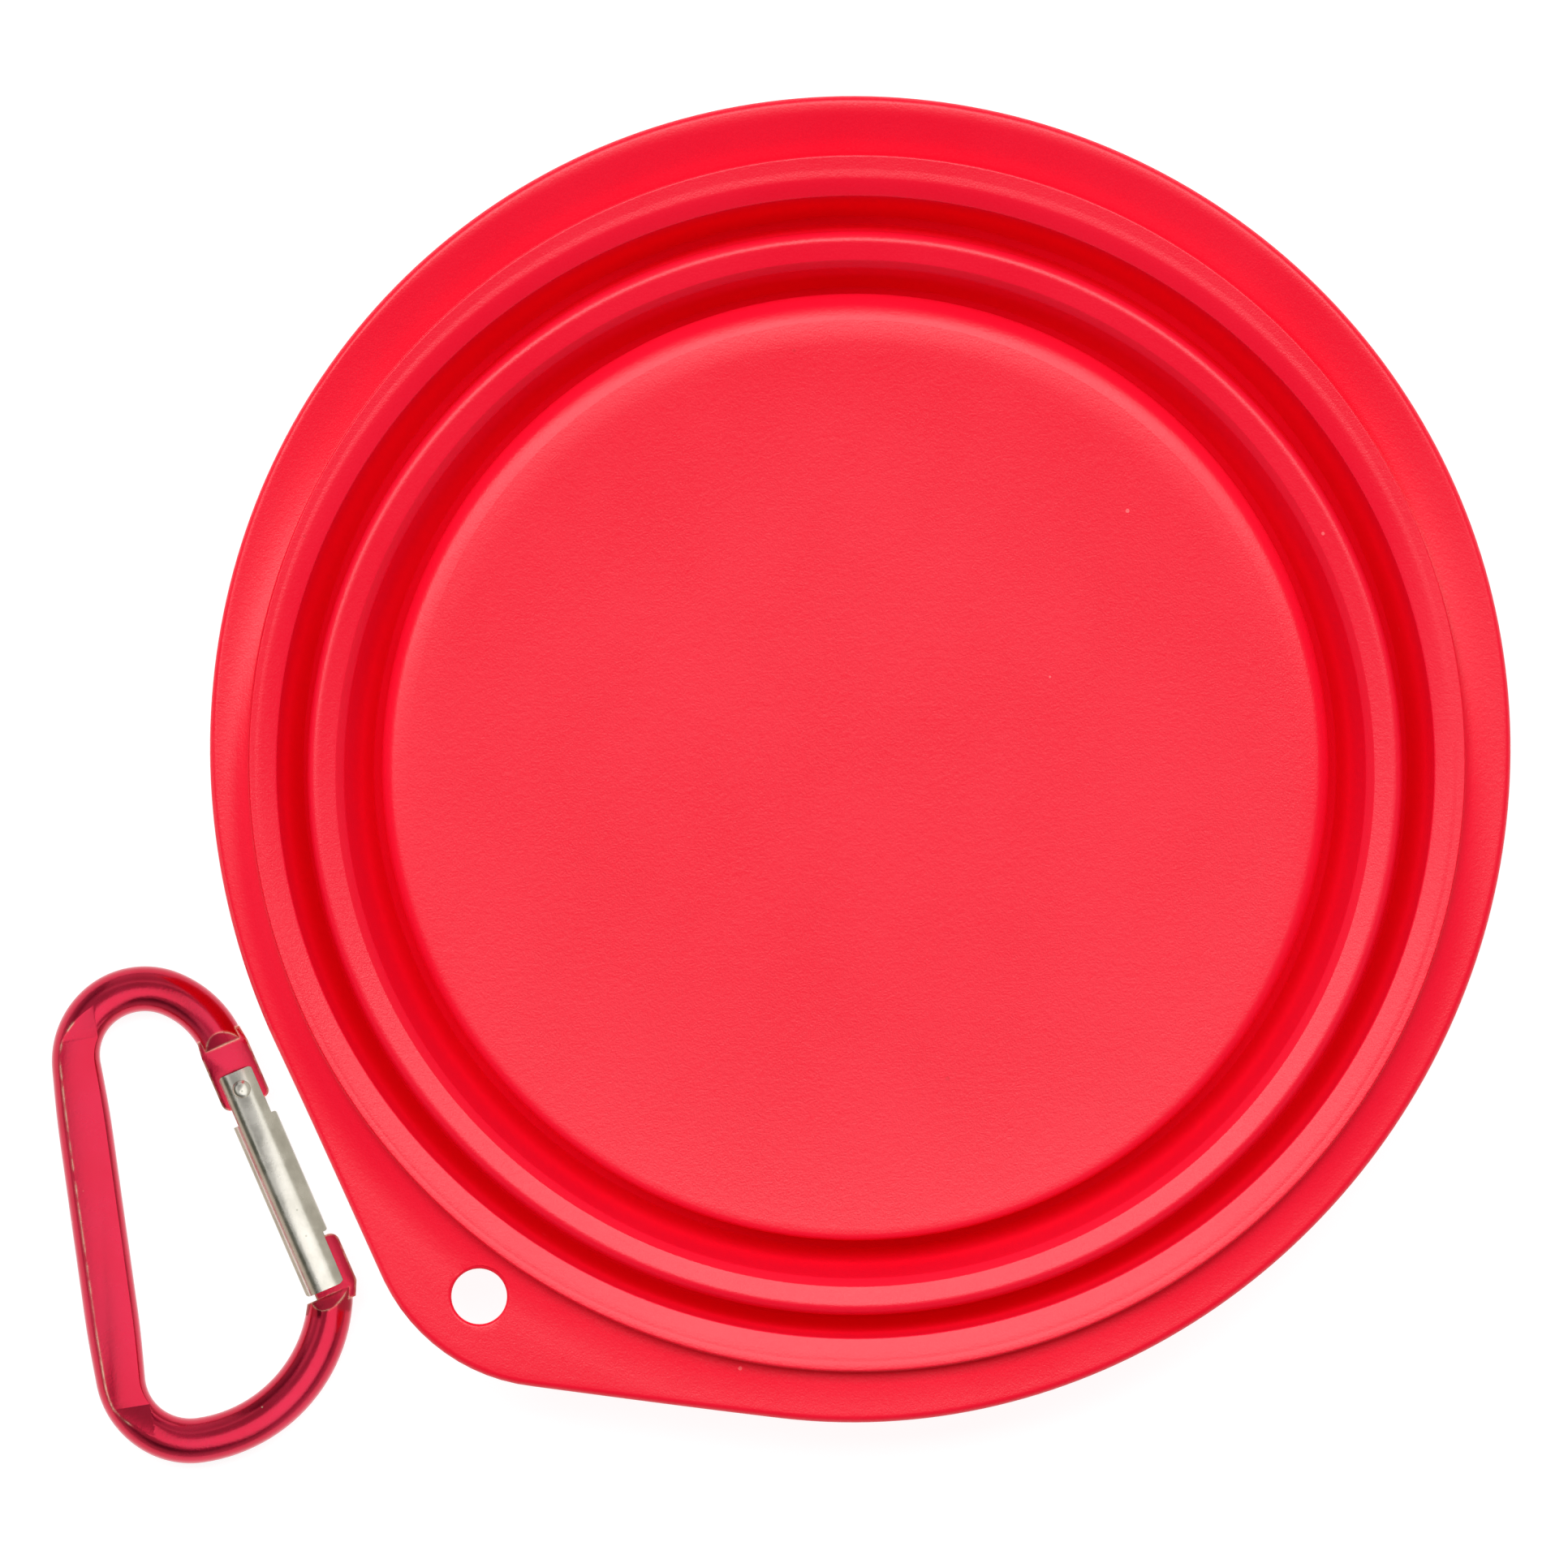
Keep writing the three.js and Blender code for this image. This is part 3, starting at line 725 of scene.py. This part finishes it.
def middlePiece():
    b = bowl
    under = b["ridgeOuter"] - b["webThickness"]
    first, last = footCorners(b["floorEdge"] + b["webFlare"])
    middle = ringPiece("middleWall", [
        *first,
        (under - 0.25, ridgeZ - 2.2, 0.8),
        (under, ridgeZ - 1.2, 0),             # meets the inside of the web
        (under - 0.3, ridgeSeamZ - 0.2, 0),
        (ridgeSeam + 0.1, ridgeSeamZ - b["seamStep"], 0),
        (ridgeSeam, ridgeSeamZ, 0),
        (b["ridgeInner"], ridgeZ - b["ridgeDrop"], 0.2),
        (b["ridgeInner"] - 0.8, ridgeZ - 1.2, 0.6),
        *last,
    ], b["ringSpacing"], ridgePlace)
    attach(middle, "middle")
    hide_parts("middle_wall")
    return middle


def rollOver(radius, height, angle):
    # The edge of the floor rolls over softly at the back
    back = ((1 + math.sin(angle)) / 2) ** 2
    share = min(1, max(0, height / floorSeamZ))
    return bowl["rollDepth"] * back * share * max(0, radius - bowl["rollFrom"]) ** 4


def shoulderPlace(radius, height, angle):
    # The edge of the floor is tight at the front, on its outer face alone
    edge, size, start = bowl["floorEdge"], bowl["shoulder"], bowl["frontFrom"]
    across, upright = (radius - edge) / size + 1, (height - floorZ) / size + 1
    drop = rollOver(radius, height, angle)
    if across > 0 and upright > 0 and across ** 2 + upright ** 2 > 0.8:
        power = 1 - bowl["frontTightness"] * max(0, -math.sin(angle) - start) / (1 - start)
        radius = edge + size * (across ** power - 1) if across < 1 else radius
        height = floorZ + size * (upright ** power - 1) if upright < 1 else height
    return radius, height - drop


def lowerWebPiece():
    b, t = bowl, bowl["webThickness"]
    foot = b["floorEdge"] + b["webFlare"]
    web = ringPiece("lowerFold", [
        (floorSeam, floorSeamZ, 0),
        (b["floorEdge"], floorZ, b["shoulder"]),
        (foot, webFootZ, b["webFootRound"]),
        (foot - t, webFootZ, b["webFootRound"]),
        (b["floorEdge"] - t, floorZ - t, b["shoulderInner"]),
        (floorSeam, floorSeamZ - t, 0),
    ], b["fineSpacing"], shoulderPlace)
    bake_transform(web)
    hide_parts("lower_fold")
    return web


def floorPlace(radius, height, angle):
    # The floor sags a little, and bends up to its edge
    share = (1 - min(1, radius / floorSeam) ** 4) * max(0, height / floorZ)
    return radius, height - bowl["floorSag"] * share - rollOver(radius, height, angle)


def basePiece():
    b = bowl
    rim = b["floorEdge"] - b["webThickness"] - 0.1
    base = ringPiece("baseFloor", [
        (0, 0, 0),
        (rim, 0, 0.5),
        (rim, floorZ - 1.1, 0.2),
        (floorSeam + 0.4, floorSeamZ - 0.2, 0),
        (floorSeam + 0.1, floorSeamZ - b["seamStep"], 0),
        (floorSeam, floorSeamZ, 0),
        (0, floorSeamZ, 0),
    ], b["floorSpacing"], floorPlace)
    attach(base, "base")
    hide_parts("base_floor")
    return base


bowlPieces = [rimPiece(), upperWebPiece(), middlePiece(), lowerWebPiece(), basePiece()]
print("bowl ready:", len(bowlPieces), "pieces")


# Clip: a bent rod, its gate and what moves the gate. The gate's place comes from its joint.

clip = {
    "rod": 4.5,
    "spine": 31.4,
    "spineSteps": 28,
    "spineWidth": 5.36,
    "wideTo": 9.0,       # full width this far from the spine's middle, along the rod
    "roundFrom": 22.0,
    "topBends": ((6.85, 120), (9.5, 45)),
    "bottomBends": ((7.0, 90), (15.05, 80.5)),
    "flatDepth": 0.65,
    "flatLean": 0.08,
    "flatReach": 18.5,
    "flatSide": 2.55,    # the punch's inner side
    "runOut": 2.4,
    "tongueThickness": 2.6,
    "tongueWidth": 4.9,
    "tongueTail": 1.6,
    "tongueStart": 0.5,
    "tongueRounds": (0.5, 0.7, 0.9),
    "rivetSetback": 4.76,
    "noseLength": 5.6,
    "noseInset": 1.45,
    "noseOutset": 2.95,
    "noseStart": 0.3,
    "noseRounds": (0.3, 0.9, 0.6),
    "shoulderLean": 1.3,
    "shoulderPast": 0.4,
    "edgeRound": 0.12,
    "sides": 48,
}


def walkBends(heading, bends, step=math.radians(3)):
    # From an end of the spine, points (x, y, heading) along the rod's bends
    side = -1 if heading > 0 else 1
    x, y = 0.0, math.copysign(clip["spine"] / 2, heading)
    path = [(x, y, heading)]
    for radius, degrees in bends:
        sweep = math.radians(degrees)
        steps = math.ceil(sweep / step)
        centreX = x - side * radius * math.sin(heading)
        centreY = y + side * radius * math.cos(heading)
        for k in range(1, steps + 1):
            turn = heading + side * sweep * k / steps
            across, along = side * radius * math.sin(turn), side * radius * math.cos(turn)
            path.append((centreX + across, centreY - along, turn))
        x, y, heading = path[-1]
    return path


topPath = walkBends(math.pi / 2, clip["topBends"])
bottomPath = walkBends(-math.pi / 2, clip["bottomBends"])
pivotEnd, noseEnd = Vector(topPath[-1][:2]).to_3d(), Vector(bottomPath[-1][:2]).to_3d()
joints = {joint["name"]: joint for joint in frame["joints"]}


def axisFrame(place, along):
    # x across the gate, away from the spine, y up, z along the gate to the nose
    along = Vector(along).normalized()
    across = Vector((0, 0, 1)).cross(along)
    turn = Matrix((across, (0, 0, 1), along)).transposed()
    return Matrix.Translation(place) @ turn.to_4x4()


alongGate = noseEnd - pivotEnd
gateInClip = axisFrame(pivotEnd + alongGate.normalized() * clip["rivetSetback"], alongGate)
gateInFrame = axisFrame(Vector(joints["gate_swing"]["pos_m"]) / mm, joints["plunger_slide"]["axis"])
clipInFrame = gateInFrame @ gateInClip.inverted()
noseShoulder = alongGate.length - clip["rivetSetback"]


def rodRings():
    # From the gate's pivot round the spine to the nose, wider along the spine
    half, wide = clip["rod"] / 2, clip["spineWidth"] / 2
    spine, count = clip["spine"], clip["spineSteps"]

    def past(x, y, heading):
        return x + half * math.cos(heading), y + half * math.sin(heading), heading

    back = [past(*topPath[-1])] + topPath[::-1]
    stations = [(x, y, heading + math.pi) for x, y, heading in back]
    middle = len(stations) + count // 2 - 1
    stations += [(0, spine * (0.5 - k / count), -math.pi / 2) for k in range(1, count)]
    stations += bottomPath + [past(*bottomPath[-1])]
    places = [Vector(station[:2]) for station in stations]
    steps = [(there - here).length for here, there in zip(places, places[1:])]
    rings = []
    for i, (x, y, heading) in enumerate(stations):
        run = sum(steps[min(i, middle):max(i, middle)])
        share = min(1, max(0, (clip["roundFrom"] - run) / (clip["roundFrom"] - clip["wideTo"])))
        halfWidth = half + (wide - half) * share * share * (3 - 2 * share)
        ring = []
        for j in range(clip["sides"]):
            turn = fullTurn * j / clip["sides"]
            aside, up = halfWidth * math.cos(turn), half * math.sin(turn)
            ring.append((x - aside * math.sin(heading), y + aside * math.cos(heading), up))
        rings.append(ring)
    return rings


def flatCutter(face):
    # The punch that presses the spine's flat, sloped at both ends
    depth = clip["flatDepth"]
    floor, top = clip["rod"] / 2 - depth, clip["rod"] / 2 + depth
    reach, slope = clip["flatReach"], 2 * clip["runOut"]
    outline = [(-reach, floor), (reach, floor), (reach + slope, top), (-reach - slope, top)]
    build = prism(outline, -clip["rod"], clip["flatSide"])
    lean = -clip["flatLean"] * face
    build.transform(Matrix(((0, 0, 1, 0), (1, 0, 0, 0), (0, face, lean, 0), (0, 0, 0, 1))))
    return build


def gateBox(low, high):
    build = boxBuild(low, high)
    build.transform(gateInClip)
    return build


def tongueBuild(outline):
    # Drawn across and along the gate, with its thickness upright
    half = clip["tongueThickness"] / 2
    build = prism(outline, -half, half)
    build.transform(gateInClip @ Matrix(((1, 0, 0, 0), (0, 0, -1, 0), (0, 1, 0, 0), (0, 0, 0, 1))))
    return build


def shoulderCutter(place, side, face):
    # Leans the end of the round rod back where the flat tongue leaves it
    half, top, lean = clip["tongueThickness"] / 2, clip["rod"], clip["shoulderLean"]
    back = place - side * lean * (top - half) / (clip["rod"] / 2 - half)
    past = place + side * clip["shoulderPast"]
    build = prism([(place, half), (back, top), (past, top), (past, half)], -5, 5)
    upright = Matrix(((0, 0, 1, 0), (0, face, 0, 0), (1, 0, 0, 0), (0, 0, 0, 1)))
    build.transform(gateInClip @ upright)
    return build


def moveInto(piece, where):
    # The matrix is in millimetres, and the finished mesh in metres
    piece.data.transform(Matrix.Scale(mm, 4) @ where @ Matrix.Scale(1 / mm, 4))


def clipBodyPiece():
    setback, sunk = clip["rivetSetback"], clip["rod"] / 4
    half, tail = clip["tongueWidth"] / 2, clip["tongueTail"]
    noseTip = noseShoulder - clip["noseLength"]
    inset, outset = clip["noseInset"], clip["noseOutset"]
    wide = 2 * clip["rod"]
    body = linkPiece("clipBody", swept(rodRings()), anodisedRed)
    combine(body, gateBox((-wide, -wide, -setback), (wide, wide, 0)), "DIFFERENCE")
    combine(body, gateBox((-wide, -wide, noseTip), (wide, wide, noseShoulder)), "DIFFERENCE")
    for face in (1, -1):
        combine(body, shoulderCutter(-setback, 1, face), "DIFFERENCE")
        combine(body, shoulderCutter(noseShoulder, -1, face), "DIFFERENCE")
    rodHalf, start = clip["rod"] / 2, clip["tongueStart"] - setback
    root, outer, inner = clip["tongueRounds"]
    pivotTongue = roundedPath([
        (-rodHalf, -setback - sunk, 0), (rodHalf, -setback - sunk, 0), (half, start, root),
        (half, tail, outer), (-half, tail, inner), (-half, start, root)])
    inner, outer, root = clip["noseRounds"]
    noseTongue = roundedPath([
        (-inset, noseTip, inner), (outset, noseTip, outer),
        (outset, noseShoulder - clip["noseStart"], root),
        (rodHalf, noseShoulder + sunk, 0), (-inset, noseShoulder + sunk, 0)])
    combine(body, tongueBuild(pivotTongue), "UNION")
    combine(body, tongueBuild(noseTongue), "UNION")
    for face in (1, -1):
        combine(body, flatCutter(face), "DIFFERENCE")
    softenEdges(body, clip["edgeRound"])
    moveInto(body, clipInFrame)
    finishPiece(body, anodisedRed)
    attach(body, "clip")
    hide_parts("clip_body")
    return body


anodisedRed = anodisedMaterial()
clipPieces = [clipBodyPiece()]
print("clip body ready")


gate = {
    "width": 4.6,
    "height": 4.2,
    "squareness": 2.3,
    "sides": 72,
    "sheet": 0.5,
    "endGap": 0.6,
    "earReach": 1.85,
    "earLength": 5.1,
    "earWidth": 3.6,
    "noseWidth": 4.0,
    "corner": 0.9,
    "cornerSteps": 8,
    "edgeRound": 0.12,
    "faceClearance": 0.2,
    "noseClearance": 0.4,
    "seam": 0.5,
    "springSeat": 12.0,
}


def sleeve(width, height):
    # Between an ellipse and a rounded square
    power = 2 / gate["squareness"]
    outline = []
    for k in range(gate["sides"]):
        turn = fullTurn * k / gate["sides"]
        c, s = math.cos(turn), math.sin(turn)
        x, y = math.copysign(abs(c) ** power, c), math.copysign(abs(s) ** power, s)
        outline.append((x * width / 2, y * height / 2))
    return outline


def cornerCutter(x, z, radius, way):
    # Rounds one corner of the sleeve as seen from above
    acrossWay, alongWay = way
    turns = [math.pi / 2 * k / gate["cornerSteps"] for k in range(gate["cornerSteps"] + 1)]
    outline = [(radius * (math.sin(t) - 1), radius * (math.cos(t) - 1)) for t in turns]
    outline += [(radius, -radius), (radius, radius), (-radius, radius)]
    outline = [(x + acrossWay * across, z + alongWay * along) for across, along in outline]
    build = prism(outline, -gate["height"], gate["height"])
    build.transform(Matrix(((1, 0, 0, 0), (0, 0, -1, 0), (0, 1, 0, 0), (0, 0, 0, 1))))
    return build


def gatePiece():
    g = gate
    start, end = -g["earReach"], noseShoulder - g["endGap"]
    tubeStart = g["earLength"] - g["earReach"]
    noseCut = noseShoulder - clip["noseLength"] - g["noseClearance"]
    far, side = g["width"], g["width"] / 2
    ear, nose, seam = g["earWidth"] / 2, g["noseWidth"] / 2, g["seam"] / 2
    room = clip["tongueThickness"] / 2 + g["faceClearance"]
    bore = [size - 2 * g["sheet"] for size in (g["width"], g["height"])]
    piece = linkPiece("clipGate", prism(sleeve(g["width"], g["height"]), start, end), platedSheet)
    cuts = [
        prism(sleeve(*bore), start - 1, end + 1),
        boxBuild((ear, -far, start - 1), (far, far, tubeStart)),
        boxBuild((-far, -far, start - 1), (-ear, far, tubeStart)),
        boxBuild((-far, -room, start - 1), (far, room, tubeStart)),
        boxBuild((nose, -far, noseCut), (far, far, end + 1)),
        boxBuild((-clip["noseInset"] - g["faceClearance"], -room, noseCut), (far, room, end + 1)),
        boxBuild((-far, -seam, start - 1), (-clip["noseInset"], seam, end + 1)),
        cornerCutter(nose, end, g["corner"], (1, 1)),
        cornerCutter(side, noseCut, g["corner"] / 3, (1, 1)),
        cornerCutter(side, tubeStart, g["corner"] / 3, (1, -1)),
        cornerCutter(-side, end, g["corner"] / 2, (-1, 1)),
        cornerCutter(ear, start, g["corner"] / 2, (1, -1)),
        cornerCutter(-ear, start, g["corner"] / 2, (-1, -1)),
    ]
    for build in cuts:
        combine(piece, build, "DIFFERENCE")
    softenEdges(piece, g["edgeRound"])
    moveInto(piece, gateInFrame)
    finishPiece(piece, platedSheet)
    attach(piece, "gate")
    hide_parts("clip_gate")
    return piece


rivetLook = {
    "radius": 0.92,
    "sunk": 0.1,
    "topDome": 0.45,
    "underDome": 0.22,
    "steps": 8,
    "sides": 40,
}


def rivetDome(height):
    look = rivetLook
    base = gate["height"] / 2 - look["sunk"]
    turns = [math.pi / 2 * k / look["steps"] for k in range(look["steps"])]
    dome = [(look["radius"] * math.cos(t), base + height * math.sin(t)) for t in turns]
    return dome + [(0, base + height)]


def rivetPiece():
    top, under = rivetDome(rivetLook["topDome"]), rivetDome(rivetLook["underDome"])
    build = turned(top + [(r, -z) for r, z in reversed(under)], rivetLook["sides"])
    build.transform(gateInFrame @ Matrix.Rotation(-math.pi / 2, 4, "X"))
    piece = linkPiece("gateRivet", build, platedSheet)
    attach(piece, "clip")
    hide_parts("gate_rivet")
    return piece


springLook = {"wire": 0.35, "mean": 1.9, "turns": 7, "steps": 26, "sides": 10, "seatGap": 0.3}
plungerLook = {
    "head": 2.4,
    "headLength": 1.2,
    "stem": 1.2,
    "stemLength": 3.0,
    "rounds": (0.4, 0.1, 0.2),  # the head's nose, its neck and the stem's end
    "sides": 40,
}


def plungerPiece():
    look = plungerLook
    start = clip["tongueTail"] + springLook["seatGap"]
    neck = start + look["headLength"]
    end = neck + look["stemLength"]
    head, stem = look["head"] / 2, look["stem"] / 2
    nose, edge, tail = look["rounds"]
    loop = roundedPath([
        (0, start, 0), (head, start, nose), (head, neck, edge), (stem, neck, edge),
        (stem, end, tail), (0, end, 0)])
    build = turned(loop, look["sides"])
    build.transform(gateInFrame)
    piece = linkPiece("gatePlunger", build, springSteel)
    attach(piece, "plunger")
    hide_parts("gate_plunger")
    return piece


def springPiece():
    look = springLook
    low = clip["tongueTail"] + plungerLook["headLength"] + 2 * look["seatGap"] + look["wire"] / 2
    high = gate["springSeat"] - look["seatGap"] - look["wire"] / 2
    count = look["turns"] * look["steps"]
    rings = []
    for k in range(count + 1):
        turn = fullTurn * k / look["steps"]
        outward = Vector((math.cos(turn), math.sin(turn), 0))
        centre = outward * look["mean"] / 2 + Vector((0, 0, low + (high - low) * k / count))
        ring = []
        for j in range(look["sides"]):
            angle = fullTurn * j / look["sides"]
            spoke = outward * math.cos(angle) + Vector((0, 0, math.sin(angle)))
            ring.append(centre + spoke * look["wire"] / 2)
        rings.append(ring)
    build = swept(rings)
    build.transform(gateInFrame)
    piece = linkPiece("gateSpring", build, springSteel)
    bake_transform(piece)
    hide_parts("gate_spring")
    return piece


clipPieces += [gatePiece(), rivetPiece(), plungerPiece(), springPiece()]
print("gate ready:", len(clipPieces), "clip pieces")


# Stage: pale floor, soft light and the camera straight above

stageLook = {
    "frameWidth": 155.3,           # mm across the picture at the bowl's height
    "frameCentre": (-7.07, -1.69),
    "cameraHeight": 3000.0,
    "focusZ": 3.0,
    "sensor": 36.0,
    "clipEnd": 10,                 # m from the camera
    "floor": (0.22, 0.22, 0.22, 1),
    "floorGlow": 0.92,
    "floorReach": 1500,
    "floorGap": 0.02,
    "overhead": 0.06,
    "horizon": 0.45,
    "horizonFade": (0.2, 0.6),
    "backShade": 0.6,
    "backFade": (0.0, 0.9),
}
keyLight = {"place": (-0.25, 1.8, 4.2), "size": (6.0, 2.6), "power": 264.0}
clipLights = [  # name, m from the clip's middle, size and power
    ("clipPanel", (0.22, -0.15, 0.54), (0.68, 0.7), 1.6),
    ("clipSky", (0, 0, 1.2), (2.4, 2.4), 6.3),
    ("clipSide", (-0.5, -0.05, 0.38), (0.6, 0.6), 0.5),
    ("clipBack", (0.0, 0.55, 0.3), (0.6, 0.6), 0.5),
]
cardLook = {  # mm in the gate's frame: across, up and along
    "glow": (0.55, 1.3),           # at the pale card's foot and at its top
    "tint": (1, 0.96, 0.86),
    "top": (1, 1, 0.98, 1),
    "fade": (5, 8),
    "across": (3.5, 3.6),
    "height": 13,
    "along": (-4, 26),
    "greys": ((0.58, 0.5, 0.43, 1), (0.05, 0.055, 0.035, 1)),
    "greyFade": (2.4, 3.2),
    "greyAcross": (-3.3, -3.2),
    "greyGap": (0.7, 1.6),         # between the two grey cards
    "greyHeight": 5.0,
    "greyAlong": (-3, 23),
}


def areaLight(name, place, size, power, target=(0, 0, 0)):
    data = bpy.data.lights.new(name, "AREA")
    data.shape, data.size, data.size_y, data.energy = "RECTANGLE", size[0], size[1], power
    light = bpy.data.objects.new(name, data)
    light.location = place
    light.visible_camera = False
    light.rotation_mode = "QUATERNION"
    light.rotation_quaternion = (Vector(target) - Vector(place)).to_track_quat("-Z", "Y")
    scene.collection.objects.link(light)
    return light


def litOnly(light, pieces):
    group = bpy.data.collections.new(light.name + "Set")
    for piece in pieces:
        group.objects.link(piece)
    light.light_linking.receiver_collection = group


def makeFloor():
    look = stageLook
    material = newMaterial("paleFloor", {
        "Base Color": look["floor"], "Roughness": 0.9,
        "Emission Color": (1, 1, 1, 1), "Emission Strength": look["floorGlow"]})[0]
    build = bmesh.new()
    bmesh.ops.create_grid(build, x_segments=2, y_segments=2, size=look["floorReach"])
    build.transform(Matrix.Translation((0, 0, tableZ - look["floorGap"])))
    floor = linkPiece("floor", build, material)
    return floor


def cardMaterial(name, strength, fade, lowColour, highColour):
    material, tree, shader, where = newMaterial(name, {
        "Base Color": (0, 0, 0, 1), "Emission Strength": strength})
    height = addNode(tree, "ShaderNodeSeparateXYZ", {"Vector": where}).outputs["Z"]
    low, high = [(clipInFrame.translation.z + level) * mm for level in fade]
    colour = mixColour(tree, rampNode(tree, height, low, high), lowColour, highColour)
    tree.links.new(colour, shader.inputs["Emission Color"])
    return material


def standCard(name, material, across, upright, along):
    build = boxBuild(*zip(across, upright, along))
    build.transform(gateInFrame)
    card = linkPiece(name, build, material)
    card.visible_camera = card.visible_diffuse = card.visible_shadow = False


def makeCards():
    # Three thin cards beside the gate, which only show as reflections in it
    look, foot = cardLook, tableZ - clipInFrame.translation.z
    low, high = look["glow"]
    shade = (*[channel * low / high for channel in look["tint"]], 1)
    pale = cardMaterial("paleCard", high, look["fade"], shade, look["top"])
    standCard("bounceCard", pale, look["across"], (foot, look["height"]), look["along"])
    grey = cardMaterial("greyCard", 1.0, look["greyFade"], *look["greys"])
    lowTop, highFoot = look["greyGap"]
    heights = {"lowCard": (foot, lowTop), "highCard": (highFoot, look["greyHeight"])}
    for name, upright in heights.items():
        standCard(name, grey, look["greyAcross"], upright, look["greyAlong"])


def makeLight():
    world = bpy.data.worlds.new("studio")
    scene.world = world
    world.use_nodes = True
    tree = world.node_tree
    sky = tree.nodes["Background"]
    where = tree.nodes.new("ShaderNodeTexCoord").outputs["Generated"]
    way = addNode(tree, "ShaderNodeSeparateXYZ", {"Vector": where}).outputs
    low = mathNode(tree, "SUBTRACT", 1.0, rampNode(tree, way["Z"], *stageLook["horizonFade"]))
    back = rampNode(tree, way["Y"], *stageLook["backFade"])
    shade = mathNode(tree, "MULTIPLY", back, stageLook["backShade"])
    front = mathNode(tree, "SUBTRACT", 1.0, shade)
    glow = mathNode(tree, "MULTIPLY", mathNode(tree, "MULTIPLY", low, front), stageLook["horizon"])
    tree.links.new(mathNode(tree, "ADD", glow, stageLook["overhead"]), sky.inputs["Strength"])
    sky.inputs["Color"].default_value = (1, 1, 1, 1)
    key = areaLight("keySoftbox", keyLight["place"], keyLight["size"], keyLight["power"])
    litOnly(key, bowlPieces + [floor])
    place = clipInFrame.translation * mm
    for name, aside, size, power in clipLights:
        litOnly(areaLight(name, place + Vector(aside), size, power, place), clipPieces)


def makeCamera():
    look = stageLook
    data = bpy.data.cameras.new("camera")
    data.sensor_width = look["sensor"]
    data.lens = look["sensor"] * look["cameraHeight"] / look["frameWidth"]
    data.clip_end = look["clipEnd"]
    camera = bpy.data.objects.new("camera", data)
    x, y = look["frameCentre"]
    camera.location = (x * mm, y * mm, (look["cameraHeight"] + look["focusZ"]) * mm)
    scene.collection.objects.link(camera)
    scene.camera = camera


floor = makeFloor()
makeCards()
makeLight()
makeCamera()
scene.view_settings.view_transform = "Standard"
print("stage ready")
